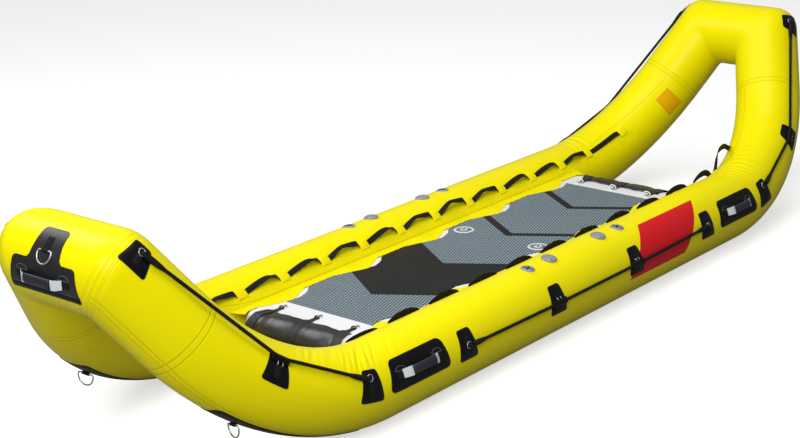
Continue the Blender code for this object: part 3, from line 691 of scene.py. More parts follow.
@dataclass(frozen=True)
class TubeSkin(Finish):
    """Coated tube fabric, with its welded seams drawn from the layout along and round the tube as lines of painted
    shade.

    Attributes:
        seam: The colour of the painted shade along the seams.
        form_radius: The tube's radius.
        rings: The places along the tube of its double ring seams.
        mitre_lines: The distances of the seams' edges from a mitre.
    """

    seam: Colour = (0.42, 0.37, 0.0, 1.0)
    form_radius: float = 0.156
    rings: tuple[float, ...] = (2.158, 2.181)
    mitre_lines: tuple[float, ...] = (0.003, 0.019, 0.027)

    def surface(self, nodes: Nodes, layout: Socket, wear: bpy.types.NodeOutputs) -> tuple:
        """Return the sockets of colour, roughness and height.

        Args:
            nodes: The material's nodes.
            layout: The flat layout, in metres.
            wear: What the wear group puts out.

        Returns:
            The colour, the roughness and the height.
        """
        parts = nodes.add("ShaderNodeSeparateXYZ", {0: layout})
        run = nodes.math("ABSOLUTE", parts.outputs[0])
        arc = parts.outputs[1]
        mitre = nodes.add("ShaderNodeAttribute", attribute_name="mitre").outputs["Fac"]
        masks = [self.line(nodes, run, place) for place in self.rings]
        masks += [nodes.math("MULTIPLY", self.line(nodes, mitre, place), 0.55) for place in self.mitre_lines]
        on_rise = nodes.ramp(run, 1.26, 1.34)
        for angle in (150.0, 158.0):
            line = self.line(nodes, arc, radians(angle) * self.form_radius)
            masks.append(nodes.math("MULTIPLY", line, on_rise))
        inner = nodes.ramp(run, 1.0, 1.62, radians(-63.0) * self.form_radius,
                           radians(-27.0) * self.form_radius)
        before_corner = nodes.ramp(run, 2.13, 2.15, 1.0, 0.0)
        line = self.line(nodes, nodes.math("SUBTRACT", arc, inner), 0.0)
        masks.append(nodes.math("MULTIPLY", nodes.math("MULTIPLY", line, before_corner), 0.8))
        line = masks[0]
        for mask in masks[1:]:
            line = nodes.math("MAXIMUM", line, mask)
        # Painted shade: the seam lines darken the colour to stand in for the shade along the welded seams and tape
        # edges; the same lines also press the skin in as a bump.
        colour = nodes.mix(nodes.math("MULTIPLY", line, 0.30), self.tone(nodes, wear), self.seam)
        grain = nodes.math("MULTIPLY", wear["Grain"], self.grain)
        soft = nodes.math("MULTIPLY", wear["Patches"], 0.0012)
        height = nodes.math("ADD", nodes.math("MULTIPLY_ADD", line, -0.0011, grain), soft)
        return colour, self.rough(nodes, wear), height

    def line(self, nodes: Nodes, coordinate: Socket, place: float) -> Socket:
        """Return the mask of one seam line."""
        inputs = {"Coordinate": coordinate, "Place": place, "Half Width": 0.0008, "Softness": 0.0032}
        return nodes.group("seam_line", inputs)["Mask"]


@dataclass(frozen=True)
class Woven(Finish):
    """Woven webbing or rope.

    Attributes:
        pitch: The pitch of its threads along and across.
        thread: The threads' height in metres.
    """

    pitch: Pair = (0.0032, 0.0022)
    thread: float = 0.0004

    def surface(self, nodes: Nodes, layout: Socket, wear: bpy.types.NodeOutputs) -> tuple:
        """Return the sockets of colour, roughness and height.

        Args:
            nodes: The material's nodes.
            layout: The flat layout, in metres.
            wear: What the wear group puts out.

        Returns:
            The colour, the roughness and the height.
        """
        inputs = {"Vector": layout, "Pitch X": self.pitch[0], "Pitch Y": self.pitch[1]}
        weave = nodes.group("weave", inputs)["Height"]
        lit = tuple(min(1.0, value * 1.9 + 0.01) for value in self.colour[:3]) + (1.0,)
        colour = nodes.mix(nodes.math("MULTIPLY", weave, 0.6), self.tone(nodes, wear), lit)
        return colour, self.rough(nodes, wear), nodes.math("MULTIPLY", weave, self.thread)


@dataclass(frozen=True)
class DeckFoam(Finish):
    """Closed-cell deck foam pressed in a lattice of long raised diamonds, with painted shade in its grooves.

    Attributes:
        pitch: The length and the width of a diamond.
        groove_shade: The dark colour painted in the grooves as their shade.
    """

    pitch: Pair = (0.0444, 0.0137)
    groove_shade: Colour = (0.02, 0.025, 0.03, 1.0)

    def surface(self, nodes: Nodes, layout: Socket, wear: bpy.types.NodeOutputs) -> tuple:
        """Return the sockets of colour, roughness and height.

        Args:
            nodes: The material's nodes.
            layout: Not used.
            wear: What the wear group puts out.

        Returns:
            The colour, the roughness and the height.
        """
        place = nodes.add("ShaderNodeTexCoord").outputs["Object"]
        inputs = {"Vector": place, "Pitch X": self.pitch[0], "Pitch Y": self.pitch[1]}
        raised = nodes.group("diamonds", inputs)["Raised"]
        # Painted shade: the grooves between the diamonds take a dark colour that stands in for the shade in them.
        colour = nodes.mix(raised, self.groove_shade, self.tone(nodes, wear))
        return colour, self.rough(nodes, wear), nodes.math("MULTIPLY", raised, 0.0008)


SHARED: dict[str, bpy.types.NodeTree] = {
    "seam_line": seam_line_group(), "wear": wear_group(), "weave": weave_group(), "diamonds": diamonds_group()}

YELLOW_SKIN = TubeSkin("yellow_skin", (0.89, 0.785, 0.0, 1.0), 0.28, shine=0.12, grain=0.00005, variety=0.03)
YELLOW_PATCH = Finish("yellow_patch", (0.87, 0.765, 0.0, 1.0), 0.34, shine=0.12, variety=0.04)
BLACK_PATCH = Finish("black_patch", (0.004, 0.004, 0.0045, 1.0), 0.36, shine=0.18, grain=0.00008)
END_PATCH = Finish("end_patch", (0.004, 0.004, 0.0045, 1.0), 0.42, shine=0.9, grain=0.00008)
BLACK_WEBBING = Woven("black_webbing", (0.003, 0.003, 0.003, 1.0), 0.72, shine=0.2)
BLACK_ROPE = Woven("black_rope", (0.003, 0.003, 0.0035, 1.0), 0.70, shine=0.2, pitch=(0.009, 0.006),
                   thread=0.0005)
GREY_WEBBING = Woven("grey_webbing", (0.48, 0.51, 0.54, 1.0), 0.60)
GRIP_RUBBER = Finish("grip_rubber", (0.018, 0.021, 0.032, 1.0), 0.34, shine=0.4, grain=0.00006)
GLOSS_COVER = Finish("gloss_cover", (0.007, 0.007, 0.008, 1.0), 0.37, shine=1.0, grain=0.0001)
COVER_STRAP = Finish("cover_strap", (0.018, 0.018, 0.019, 1.0), 0.55, shine=0.5, grain=0.0001)
SLATE_FOAM = DeckFoam("slate_foam", (0.262, 0.333, 0.380, 1.0), 0.72, shine=0.2,
                      groove_shade=(0.022, 0.030, 0.040, 1.0))
BLACK_FOAM = DeckFoam("black_foam", (0.030, 0.029, 0.031, 1.0), 0.66, shine=0.2,
                      groove_shade=(0.002, 0.002, 0.002, 1.0))
WHITE_SKIN = Finish("white_skin", (0.80, 0.80, 0.83, 1.0), 0.38, grain=0.00005, variety=0.03)
CLEAR_PLASTIC = Finish("clear_plastic", (0.70, 0.73, 0.75, 1.0), 0.26, coat=0.2, variety=0.03)
FLAT_GREY = Finish("flat_grey", (0.17, 0.19, 0.21, 1.0), 0.42, shine=0.4, variety=0.05)
GREY_PLASTIC = Finish("grey_plastic", (0.27, 0.28, 0.30, 1.0), 0.36, variety=0.05)
DARK_PLASTIC = Finish("dark_plastic", (0.02, 0.02, 0.022, 1.0), 0.40, shine=0.3)
GREY_SEAM = Finish("grey_seam", (0.10, 0.10, 0.11, 1.0), 0.50)
STEEL = Finish("steel", (0.66, 0.66, 0.68, 1.0), 0.22, metallic=1.0, grain=0.00002, variety=0.05)
RED_PANEL = Finish("red_panel", (0.66, 0.010, 0.018, 1.0), 0.38, shine=0.15, variety=0.05)
ORANGE_LABEL = Finish("orange_label", (0.88, 0.47, 0.002, 1.0), 0.36, shine=0.15, variety=0.05)
ORANGE_EDGE = Finish("orange_edge", (0.50, 0.17, 0.004, 1.0), 0.40, variety=0.05)


def dress(piece: Piece, slot: str, *nodes: str, body: str = BOAT) -> None:
    """Attach a painted piece to its body and hide the solids that it stands for.

    Args:
        piece: The finished piece.
        slot: Not used.
        *nodes: The solids that it stands for.
        body: The body that it moves with.
    """
    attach(piece, body)
    if nodes:
        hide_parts(*nodes)
    log.info("%s rides on %s", piece.name, body)


def paint(piece: Piece, finish: Finish) -> Piece:
    """Give a piece its one finish and return it.

    Args:
        piece: The piece.
        finish: The finish.

    Returns:
        The piece.
    """
    piece.data.materials.clear()
    piece.data.materials.append(finish.material())
    return piece


def stepped_drum(name: str, sides: int, radius: float, depth: float, z: float, steps: Sequence[Pair],
                 finish: Finish) -> Piece:
    """Add a painted upright drum and step its top in and up.

    Args:
        name: The piece's name.
        sides: The number of sides.
        radius: Its radius.
        depth: Its height before the steps.
        z: The height of its middle.
        steps: The inset and the rise of each step.
        finish: Its finish.

    Returns:
        The drum.
    """
    piece = drum(name, sides, radius, depth, (0.0, 0.0, z))
    with editing(piece):
        pick(piece, Part.FACE, lambda face: face.normal.z > 0.9)
        for inset, rise in steps:
            bpy.ops.mesh.inset(thickness=inset)
            bpy.ops.transform.translate(value=(0.0, 0.0, rise))
    return paint(piece, finish)


def cross_key(half: float, width: float, thickness: float, lean: float) -> list[Piece]:
    """Cut the two crossed bars of a valve's key, by their half length, half width, thickness and lean.

    Args:
        half: Half a bar's length, in metres.
        width: Half its width, in metres.
        thickness: Its thickness, in metres.
        lean: The turn of both, in radians.

    Returns:
        The two bars.
    """
    made = []
    for turn in (0.0, pi / 2.0):
        bar = box_plate("key", (-half, half), (-width, width), thickness, 0.001)
        bar.data.transform(Matrix.Rotation(turn + lean, 4, "Z"))
        made.append(paint(shift(bar, z=0.0048), DARK_PLASTIC))
    return made


def bar_sleeve(where: Side | End, x: float, degrees: float, lift: float, axis: Vector) -> Piece:
    """Roll the webbing sleeve that the bar of a D-ring turns in.

    Args:
        where: The side tube's side or the cross tube's end.
        x: The run along a side tube, or the place across a cross tube.
        degrees: The angle round the tube.
        lift: The height of the bar over the skin.
        axis: The bar's direction.

    Returns:
        The sleeve.
    """
    bar = FORM.at(where, x, degrees, lift)
    points = [bar + axis * away for away in (-0.0145, 0.0145)]
    return paint(hose("sleeve", points, (0.0064, 0.0064), 20), BLACK_WEBBING)


# The form of the tubes

@dataclass(frozen=True)
class TubeForm:
    """The course of the air tubes, as the solids have it.

    Attributes:
        radius: The tubes' radius.
        half_spacing: The distance of a side tube from the middle.
        flat_half: Half the length that lies flat.
        bend_radius: The radius of a bend.
        bend_angle: The angle that a bend turns through.
        bend_lean: How far a bend leans inwards.
        rise_straight: The straight part of a rise, up to its corner.
        fillet_outer: The rounding on the outside of a corner.
        fillet_inner: The rounding on its inside.
    """

    radius: float = 0.156
    half_spacing: float = 0.4543
    flat_half: float = 1.2589
    bend_radius: float = 0.9227
    bend_angle: float = radians(57.94)
    bend_lean: float = radians(24.89)
    rise_straight: float = 0.2885
    fillet_outer: float = 0.10
    fillet_inner: float = 0.012

    @cached_property
    def bend_end(self) -> float:
        """Return the run at which a bend ends."""
        return self.flat_half + self.bend_radius * self.bend_angle

    @cached_property
    def corner(self) -> float:
        """Return the run of a corner's centre."""
        return self.bend_end + self.rise_straight

    @cached_property
    def half_turn(self) -> float:
        """Return half the angle between a rise and its cross tube."""
        return acos(-self.course(self.corner, Side.PORT)[1].y) / 2.0

    @cached_property
    def cross_phase(self) -> float:
        """Return the angle from straight up to a cross tube's outermost line, in degrees."""
        along = self.course(self.corner, Side.PORT)[1]
        return degrees(atan2(along.x, along.z))

    def course(self, run: float, side: Side) -> tuple[Vector, Vector, Vector, Vector]:
        """Return a side tube's centre, forward, top and outward directions at a run.

        Args:
            run: The length along the tube from midships, negative towards the stern.
            side: The tube's side.

        Returns:
            The centre, and the directions towards the tube's end, of its top and of its outside.
        """
        end = 1.0 if run >= 0.0 else -1.0
        away = abs(run)
        ahead = Vector((end, 0.0, 0.0))
        climb = Vector((0.0, -side.value * sin(self.bend_lean), cos(self.bend_lean)))
        turn = min(max(away - self.flat_half, 0.0) / self.bend_radius, self.bend_angle)
        along = ahead * cos(turn) + climb * sin(turn)
        centre = Vector((end * min(away, self.flat_half), side.value * self.half_spacing, self.radius))
        centre += ahead * self.bend_radius * sin(turn)
        centre += climb * self.bend_radius * (1.0 - cos(turn))
        centre += along * max(away - self.flat_half - self.bend_radius * self.bend_angle, 0.0)
        level = Vector((0.0, side.value, 0.0))
        outward = (level - along * level.dot(along)).normalized()
        return centre, along, along.cross(outward) * end * side.value, outward

    def fillet(self, angle: float) -> float:
        """Return the rounding of a corner along a wall line, its angle in radians."""
        share = (1.0 + sin(angle)) / 2.0
        return self.fillet_inner + (self.fillet_outer - self.fillet_inner) * share

    def corner_start(self, angle: float) -> float:
        """Return how far past a corner's centre a wall line stays straight."""
        reach = self.radius * sin(angle) - self.fillet(angle)
        return reach * tan(self.half_turn)

    def mitre(self, angle: float) -> float:
        """Return how far past a corner's centre a wall line runs to the mitre."""
        return self.corner_start(angle) + self.fillet(angle) * self.half_turn

    def wall(self, course: tuple, angle: float, travel: float, lift: float) -> Vector:
        """Return a point over a tube's wall near its corner.

        Args:
            course: The corner's centre with the tube's directions.
            angle: The angle round the tube in radians.
            travel: The length past the corner's centre.
            lift: The height over the skin.

        Returns:
            The point.
        """
        centre, along, top, outward = course
        start = self.corner_start(angle)
        fillet = self.fillet(angle)
        swing = max(travel - start, 0.0) / fillet
        point = centre + along * (min(travel, start) + fillet * sin(swing))
        point -= outward * fillet * (1.0 - cos(swing))
        lean = outward * cos(swing) + along * sin(swing)
        point += (top * cos(angle) + outward * sin(angle)) * self.radius
        return point + (top * cos(angle) + lean * sin(angle)) * lift

    def on_side(self, side: Side) -> Place:
        """Return the place of a flat point on a side tube: run, way round and height.

        Args:
            side: The side of the boat.

        Returns:
            What gives a flat point its place.
        """
        def place(point: Vector) -> Vector:
            """Return the place of one flat point.

            Args:
                point: The flat point.

            Returns:
                Its place.
            """
            run, arc, lift = point
            angle = arc / self.radius
            if abs(run) > self.bend_end:
                end = copysign(self.corner, run)
                return self.wall(self.course(end, side), angle, abs(run) - self.corner, lift)
            centre, _, top, outward = self.course(run, side)
            return centre + (top * cos(angle) + outward * sin(angle)) * (self.radius + lift)
        return place

    def on_cross(self, end: End) -> Place:
        """Return the place of a flat point on a cross tube: across, way from straight up and height.

        Args:
            end: The end of the boat.

        Returns:
            What gives a flat point its place.
        """
        phase = radians(self.cross_phase)
        outward = Vector((end.value * sin(phase), 0.0, cos(phase)))
        top = Vector((-end.value * cos(phase), 0.0, sin(phase)))
        centres = {side: self.course(end.value * self.corner, side)[0] for side in Side}

        def place(point: Vector) -> Vector:
            """Return the place of one flat point.

            Args:
                point: The flat point.

            Returns:
                Its place.
            """
            across, arc, lift = point
            side = Side.PORT if across >= 0.0 else Side.STARBOARD
            course = (centres[side], Vector((0.0, side.value, 0.0)), top, outward)
            angle = arc / self.radius - phase + pi / 2.0
            return self.wall(course, angle, abs(across) - abs(centres[side].y), lift)
        return place

    def arc(self, degrees: float) -> float:
        """Return the way round a tube for an angle in degrees."""
        return radians(degrees) * self.radius

    def at(self, where: Side | End, x: float, degrees: float, lift: float, around: float = 0.0) -> Vector:
        """Return a place on a tube: its run or place across, the angle round it and the height over it."""
        place = self.on_side(where) if isinstance(where, Side) else self.on_cross(where)
        return place(Vector((x, self.arc(degrees) + around, lift)))


FORM = TubeForm()


# Sub-assemblies

@dataclass(frozen=True)
class Fold:
    """One soft fold of the skin, across the tube: its place, its reach and its depth."""

    run: float
    angle: float
    half_length: float
    width: float
    depth: float
    slant: float
    curve: float = 0.0

    def sink(self, run: float, angle: float) -> float:
        """Return how far the fold draws in the skin at a run and an angle.

        Args:
            run: The run along the tube, in metres.
            angle: The angle round the tube, in degrees.

        Returns:
            The depth, in metres.
        """
        reach = (angle - self.angle) / self.half_length
        if abs(reach) >= 1.0:
            return 0.0
        away = angle - self.angle
        off = (run - self.run - self.slant * away + self.curve * away * away) / self.width
        return self.depth * exp(-off * off) * (1.0 - reach * reach) ** 2


@dataclass(frozen=True)
class Gathers:
    """How the folds over a bend lie: their spacing and spread, and the range of each of their sizes."""

    pitch: float
    spread: float
    angle: Pair
    half_length: Pair
    width: Pair
    depth: Pair
    slant: Pair
    curve: float

    def fold(self, chance: random.Random, run: float) -> Fold:
        """Return one fold at a run, shallower away from the two places where the skin gathers most.

        Args:
            chance: The random draws.
            run: The run along the tube, in metres.

        Returns:
            The fold.
        """
        strength = 0.10 + 0.90 * exp(-(((run - 1.40) / self.spread) ** 2))
        strength += 0.32 * exp(-(((run - 1.67) / 0.06) ** 2))
        return Fold(run, chance.uniform(*self.angle), chance.uniform(*self.half_length),
                    chance.uniform(*self.width), strength * chance.uniform(*self.depth),
                    chance.uniform(*self.slant), self.curve)


TIGHT = Gathers(0.0265, 0.105, (14.0, 26.0), (30.0, 46.0), (0.0085, 0.0110), (0.0042, 0.0078),
                (0.0017, 0.0021), 0.000022)
LOOSE = Gathers(0.040, 0.15, (-4.0, 12.0), (30.0, 50.0), (0.0110, 0.0145), (0.0022, 0.0050),
                (0.0002, 0.0008), 0.0)


@dataclass
class AirTubes:
    """The inflated tubes with the folds in their bends.

    Attributes:
        around: The sides of a tube.
        gap: The gap at a mitre.
        weld: How near two points are merged.
        deepest: The greatest depth of the folds.
        fold_reach: How far along the tube a fold is felt.
        off_side: The layout's offset round a cross tube, which keeps the side tubes' seams off it.
        seed: The seed of the folds.
    """

    around: int = 96
    gap: float = 0.0003
    weld: float = 0.0001
    deepest: float = 0.0085
    fold_reach: float = 0.11
    off_side: float = -9.0
    seed: int = 7

    def build(self) -> None:
        """Build both side tubes with their rises, and both cross tubes."""
        for side in Side:
            self.side_tube(side)
        for end in End:
            self.cross_tube(end)

    def folds(self, side: Side, end: End) -> list[Fold]:
        """Return the folds of one bend: long ones over its top and short ones on its inner face.

        Args:
            side: The side of the boat.
            end: The end of the boat.

        Returns:
            The folds.
        """
        chance = random.Random(self.seed * 10 + side.value * 3 + end.value)
        gathers = TIGHT if side is Side.PORT and end is End.BOW else LOOSE
        folds = []
        run = 1.02
        while run < 1.78:
            folds.append(gathers.fold(chance, run))
            run += gathers.pitch * chance.uniform(0.72, 1.35)
        run = 1.12
        while run < 1.74:
            folds.append(Fold(run, chance.uniform(-66.0, -54.0), chance.uniform(13.0, 22.0),
                              chance.uniform(0.0045, 0.007), chance.uniform(0.0016, 0.0034),
                              chance.uniform(-0.0002, 0.0002)))
            run += 0.016 * chance.uniform(0.8, 1.4)
        for _ in range(9):
            folds.append(Fold(chance.uniform(2.30, 2.40), chance.uniform(-125.0, -60.0),
                              chance.uniform(12.0, 20.0), 0.006, chance.uniform(0.0014, 0.0026), 0.0))
        return folds

    def stations(self) -> list[float]:
        """Return the stations from midships to a mitre: runs, then shares of the last two stretches.

        Returns:
            The stations.
        """
        result = spread(0.0, 0.95, 30) + spread(0.95, 1.80, 205)[1:] + spread(1.80, FORM.bend_end, 22)[1:]
        result += [FORM.bend_end + share for share in spread(0.0, 1.0, 14)[1:]]
        return result + [FORM.bend_end + 1.0 + share for share in spread(0.0, 1.0, 8)[1:]]

    def run_at(self, station: float, angle: float) -> float:
        """Return the run of a station along a wall line.

        Args:
            station: The station.
            angle: The angle round the tube, in degrees.

        Returns:
            The run, in metres.
        """
        share = station - FORM.bend_end
        if share <= 0.0:
            return station
        start = FORM.corner + FORM.corner_start(angle)
        if share <= 1.0:
            return FORM.bend_end + (start - FORM.bend_end) * share
        finish = FORM.corner + FORM.mitre(angle) - self.gap / 2.0
        return start + (finish - start) * (share - 1.0)

    def roll(self, name: str, half: list[float],
             travel: Callable[[float, float], float]) -> tuple[Piece, list[Pair]]:
        """Spread out the grid of a tube.

        Args:
            name: The piece's name.
            half: The stations from the tube's middle to a mitre.
            travel: Gives the length from its middle for a station and an angle.

        Returns:
            The grid, and the signed length and the angle of each of its points.
        """
        stations = [-station for station in reversed(half[1:])] + half
        piece = sheet_grid(name, len(stations) - 1, self.around)
        places = []
        for vertex in piece.data.vertices:
            station = stations[round(vertex.co.x * (len(stations) - 1))]
            angle = (vertex.co.y * 2.0 - 1.0) * pi
            places.append((copysign(travel(abs(station), angle), station), angle))
        return piece, places

    def side_tube(self, side: Side) -> None:
        """Roll one side tube from mitre to mitre.

        Args:
            side: The side of the boat.
        """
        piece, places = self.roll(f"side_tube_{side}_skin", self.stations(), self.run_at)
        keep_layout(piece, lambda v: (places[v.index][0], places[v.index][1] * FORM.radius))
        place = FORM.on_side(side)
        folds = {end: self.folds(side, end) for end in End}
        near = piece.data.attributes.new("mitre", "FLOAT", "POINT")
        for vertex, (run, angle) in zip(piece.data.vertices, places):
            end = End.BOW if run >= 0.0 else End.STERN
            sink = sum(fold.sink(abs(run), degrees(angle)) for fold in folds[end]
                       if abs(abs(run) - fold.run) < self.fold_reach)
            near.data[vertex.index].value = FORM.corner + FORM.mitre(angle) - abs(run) + end.seam_shift
            vertex.co = place(Vector((run, angle * FORM.radius, -min(sink, self.deepest))))
        seal(piece, self.weld)
        dress(paint(piece, YELLOW_SKIN), "tube_yellow", f"side_tube_{side}",
              *[f"rise_tube_{end}_{side}" for end in End])

    def cross_tube(self, end: End) -> None:
        """Roll one cross tube from mitre to mitre.

        Args:
            end: The end of the boat.
        """
        middle = abs(FORM.course(FORM.corner, Side.PORT)[0].y)
        phase = radians(FORM.cross_phase) - pi / 2.0

        def finish(angle: float) -> float:
            """Return the length from the middle to the mitre."""
            return middle + FORM.mitre(angle) - self.gap / 2.0

        def travel(station: float, angle: float) -> float:
            """Return the length from the middle to a station, the stations past 1 lying in the corner."""
            start = middle + FORM.corner_start(angle)
            return start * station if station <= 1.0 else start + (finish(angle) - start) * (station - 1.0)

        half = spread(0.0, 1.0, 8) + [1.0 + share for share in spread(0.0, 1.0, 8)[1:]]
        piece, places = self.roll(f"cross_tube_{end}_skin", half, travel)
        keep_layout(piece, lambda v: (places[v.index][0], self.off_side + places[v.index][1] * 0.001))
        place = FORM.on_cross(end)
        near = piece.data.attributes.new("mitre", "FLOAT", "POINT")
        for vertex, (across, angle) in zip(piece.data.vertices, places):
            near.data[vertex.index].value = finish(angle) - abs(across) + end.seam_shift
            vertex.co = place(Vector((across, (angle + phase) * FORM.radius, 0.0)))
        seal(piece, self.weld)
        dress(paint(piece, YELLOW_SKIN), "tube_yellow", f"cross_tube_{end}")


@dataclass(frozen=True)
class Stretch:
    """Where a length of line runs: its side, its sign along the boat and the knots that hold it."""

    side: Side
    sign: int
    knots: tuple[Pair, ...]

    def at(self, run: float, angle: float, lift: float, along: float = 0.0, around: float = 0.0) -> Vector:
        """Return a point over the tube's skin, moved on along the boat and round the tube."""
        return FORM.at(self.side, self.sign * run + along, angle, lift, around)


@dataclass
class GrabLines:
    """The outside grab lines, with the patches, sleeves and rings that hold them.

    A knot is a (run, angle) pair where a line is held, and a line runs straight from knot to knot.

    Attributes:
        tube_patch: The angles of a patch's narrow and wide edges, and its half widths there.
        rise_patch: The same for a patch on a rise.
        corner_patch: The same for a patch at a corner.
        line_radius: The line's radius.
        lift: The height of the line's middle over the skin where it is held.
        splice: The length of the thicker part at each end of a line.
        swell: How much thicker it is there, as a share of the radius.
        keepers: How far along from a sleeve's middle its two keepers stand.
        ring_away: How far past a line's end its ring lies.
    """

    tube_patch: tuple[float, ...] = (50.0, 94.0, 0.036, 0.055)
    rise_patch: tuple[float, ...] = (47.4, 88.0, 0.038, 0.058)
    corner_patch: tuple[float, ...] = (53.4, 92.5, 0.034, 0.060)
    line_radius: float = 0.0066
    lift: float = 0.0092
    splice: float = 0.078
    swell: float = 0.72
    keepers: Pair = (-0.011, 0.011)
    ring_away: float = 0.020
    thickness: float = 0.0022
    middle_knots: tuple[Pair, ...] = (
        (-0.862, 75.0), (-0.2914, 78.0), (0.2914, 78.0), (0.862, 75.0))
    bow_knots: tuple[Pair, ...] = ((1.452, 62.5), (1.855, 54.6), (2.484, 67.5))
    stern_knots: tuple[Pair, ...] = ((1.452, 61.5), (1.850, 67.3), (2.488, 68.8))
    middle_patches: tuple[float, ...] = (-0.8842, -0.2914, 0.2914, 0.8842)
    end_patches: tuple[float, ...] = (1.424, 1.857, 2.504)

    def build(self) -> None:
        """Build the three lengths of line on each side."""
        patterns = [self.patch(*size) for size in (self.tube_patch, self.rise_patch, self.corner_patch)]
        for side in Side:
            self.length(f"grab_line_middle_{side}", Stretch(side, 1, self.middle_knots),
                        [(run, patterns[0]) for run in self.middle_patches])
            for end, knots in ((End.BOW, self.bow_knots), (End.STERN, self.stern_knots)):
                self.length(f"grab_line_{end}_{side}", Stretch(side, end.value, knots),
                            list(zip(self.end_patches, patterns)))
        discard(*patterns)

    def patch(self, top: float, bottom: float, narrow: float, wide: float) -> Piece:
        """Cut the pattern of a patch with its sewn tab, around x = 0.

        Args:
            top: The angle of its narrow edge.
            bottom: The angle of its wide edge.
            narrow: Half the narrow edge's length.
            wide: Half the wide edge's length.

        Returns:
            The flat patch.
        """
        low, high = FORM.arc(top), FORM.arc(bottom)
        corners = [(-narrow, low), (narrow, low), (-wide, high), (wide, high)]
        base = plate("patch", corners, self.thickness, 0.012, 0.0007)
        slice_across(base, 1, 0.011)
        tab = box_plate("tab", (-0.013, 0.013), (low + 0.034, high - 0.020), 0.0016, 0.003)
        slice_across(tab, 1, 0.010)
        shift(tab, z=self.thickness - 0.0002)
        return join("patch", [paint(base, BLACK_PATCH), paint(tab, BLACK_WEBBING)])

    def length(self, name: str, line: Stretch, patches: Sequence[tuple[float, Piece]]) -> None:
        """Build one length of line with its patches.

        Args:
            name: The solid that it stands for.
            line: Where it runs.
            patches: The runs of its patches, with the pattern to copy for each.
        """
        pieces = []
        for run, pattern in patches:
            copy = shift(copy_of(pattern, name + "_patch"), line.sign * run, 0.0, 0.0002)
            if abs(run) > 1.0:
                slice_across(copy, 0, 0.028)
            pieces.append(lay(copy, FORM.on_side(line.side)))
        for run, angle in line.knots[1:-1]:
            pieces.append(self.sleeve(line, run, angle))
            below = 0.0185 if abs(run) > 1.0 else -0.0150
            pieces += [self.keeper(line, run + away, angle, below) for away in self.keepers]
        for (run, angle), inward in ((line.knots[0], -1.0), (line.knots[-1], 1.0)):
            pieces += [self.ring(line, run + inward * self.ring_away, angle), self.eye(line, run, angle, inward)]
        pieces.append(self.rope(line))
        dress(join(name + "_dressed", pieces), "webbing_black", name)

    def rope(self, line: Stretch) -> Piece:
        """Stretch the line from knot to knot, thicker where its ends are spliced.

        Args:
            line: The grab line.

        Returns:
            The line.
        """
        ends = [line.at(*knot, self.lift) for knot in line.knots]
        points = [ends[0]]
        for near, far in zip(ends, ends[1:]):
            count = max(2, round((far - near).length / 0.016))
            points += [near.lerp(far, index / count) for index in range(1, count + 1)]
        out = line.at(*line.knots[0], 1.0) - line.at(*line.knots[0], 0.0)
        steps = [0.0] + [(far - near).length for near, far in zip(points, points[1:])]
        swelling = ((0.0, 0.55), (0.02, 1.0), (self.splice * 0.7, 0.7), (self.splice, 0.0))
        away, radii = 0.0, []
        for step in steps:
            away += step
            radius = self.line_radius * (1.0 + self.swell * blend(swelling, min(away, sum(steps) - away)))
            radii.append((radius, radius))
        return paint(hose("rope", points, radii, 12, [out]), BLACK_ROPE)

    def sleeve(self, line: Stretch, run: float, angle: float) -> Piece:
        """Fold the patch over the line where it passes, as one soft ridge.

        Args:
            line: The grab line.
            run: The run along the tube, in metres.
            angle: The angle round the tube, in degrees.

        Returns:
            The patch.
        """
        low, high, narrow, wide = self.rise_patch if abs(run) > 1.0 else self.tube_patch
        half = narrow + (wide - narrow) * (angle - low) / (high - low) - 0.004
        points, ups = [], []
        for away in spread(-half, half, 12):
            here = angle + (blend(line.knots, run + away) - angle) * 0.6
            base = line.at(run + away, here, 0.0)
            ups.append(line.at(run + away, here, 1.0) - base)
            points.append(base + ups[-1] * (self.lift - 0.0034))
        return paint(hose("sleeve", points, (0.0155, 0.0108), 18, ups), BLACK_PATCH)

    def keeper(self, line: Stretch, run: float, angle: float, below: float) -> Piece:
        """Bend one of the small steel keepers that stand beside the line."""
        return paint(wire_loop("keeper", 16, 0.0013, 8, lambda c, s: line.at(
            run, angle, 0.0048 + 0.0058 * s, around=below + 0.0068 * c)), STEEL)

    def ring(self, line: Stretch, run: float, angle: float) -> Piece:
        """Bend the round steel ring that a line's end is tied to."""
        return paint(wire_loop("ring", 24, 0.0017, 10, lambda c, s: line.at(
            run, angle, 0.0066 - 0.0022 * s, 0.0125 * c, -0.002 + 0.0125 * s)), STEEL)

    def eye(self, line: Stretch, run: float, angle: float, inward: float) -> Piece:
        """Turn the end of the line through its ring."""
        return paint(wire_loop("eye", 18, 0.0048, 10, lambda c, s: line.at(
            run + (inward * 0.006 + 0.0145 * c), angle, 0.0088 + 0.0024 * s, around=0.0062 * s)), BLACK_ROPE)


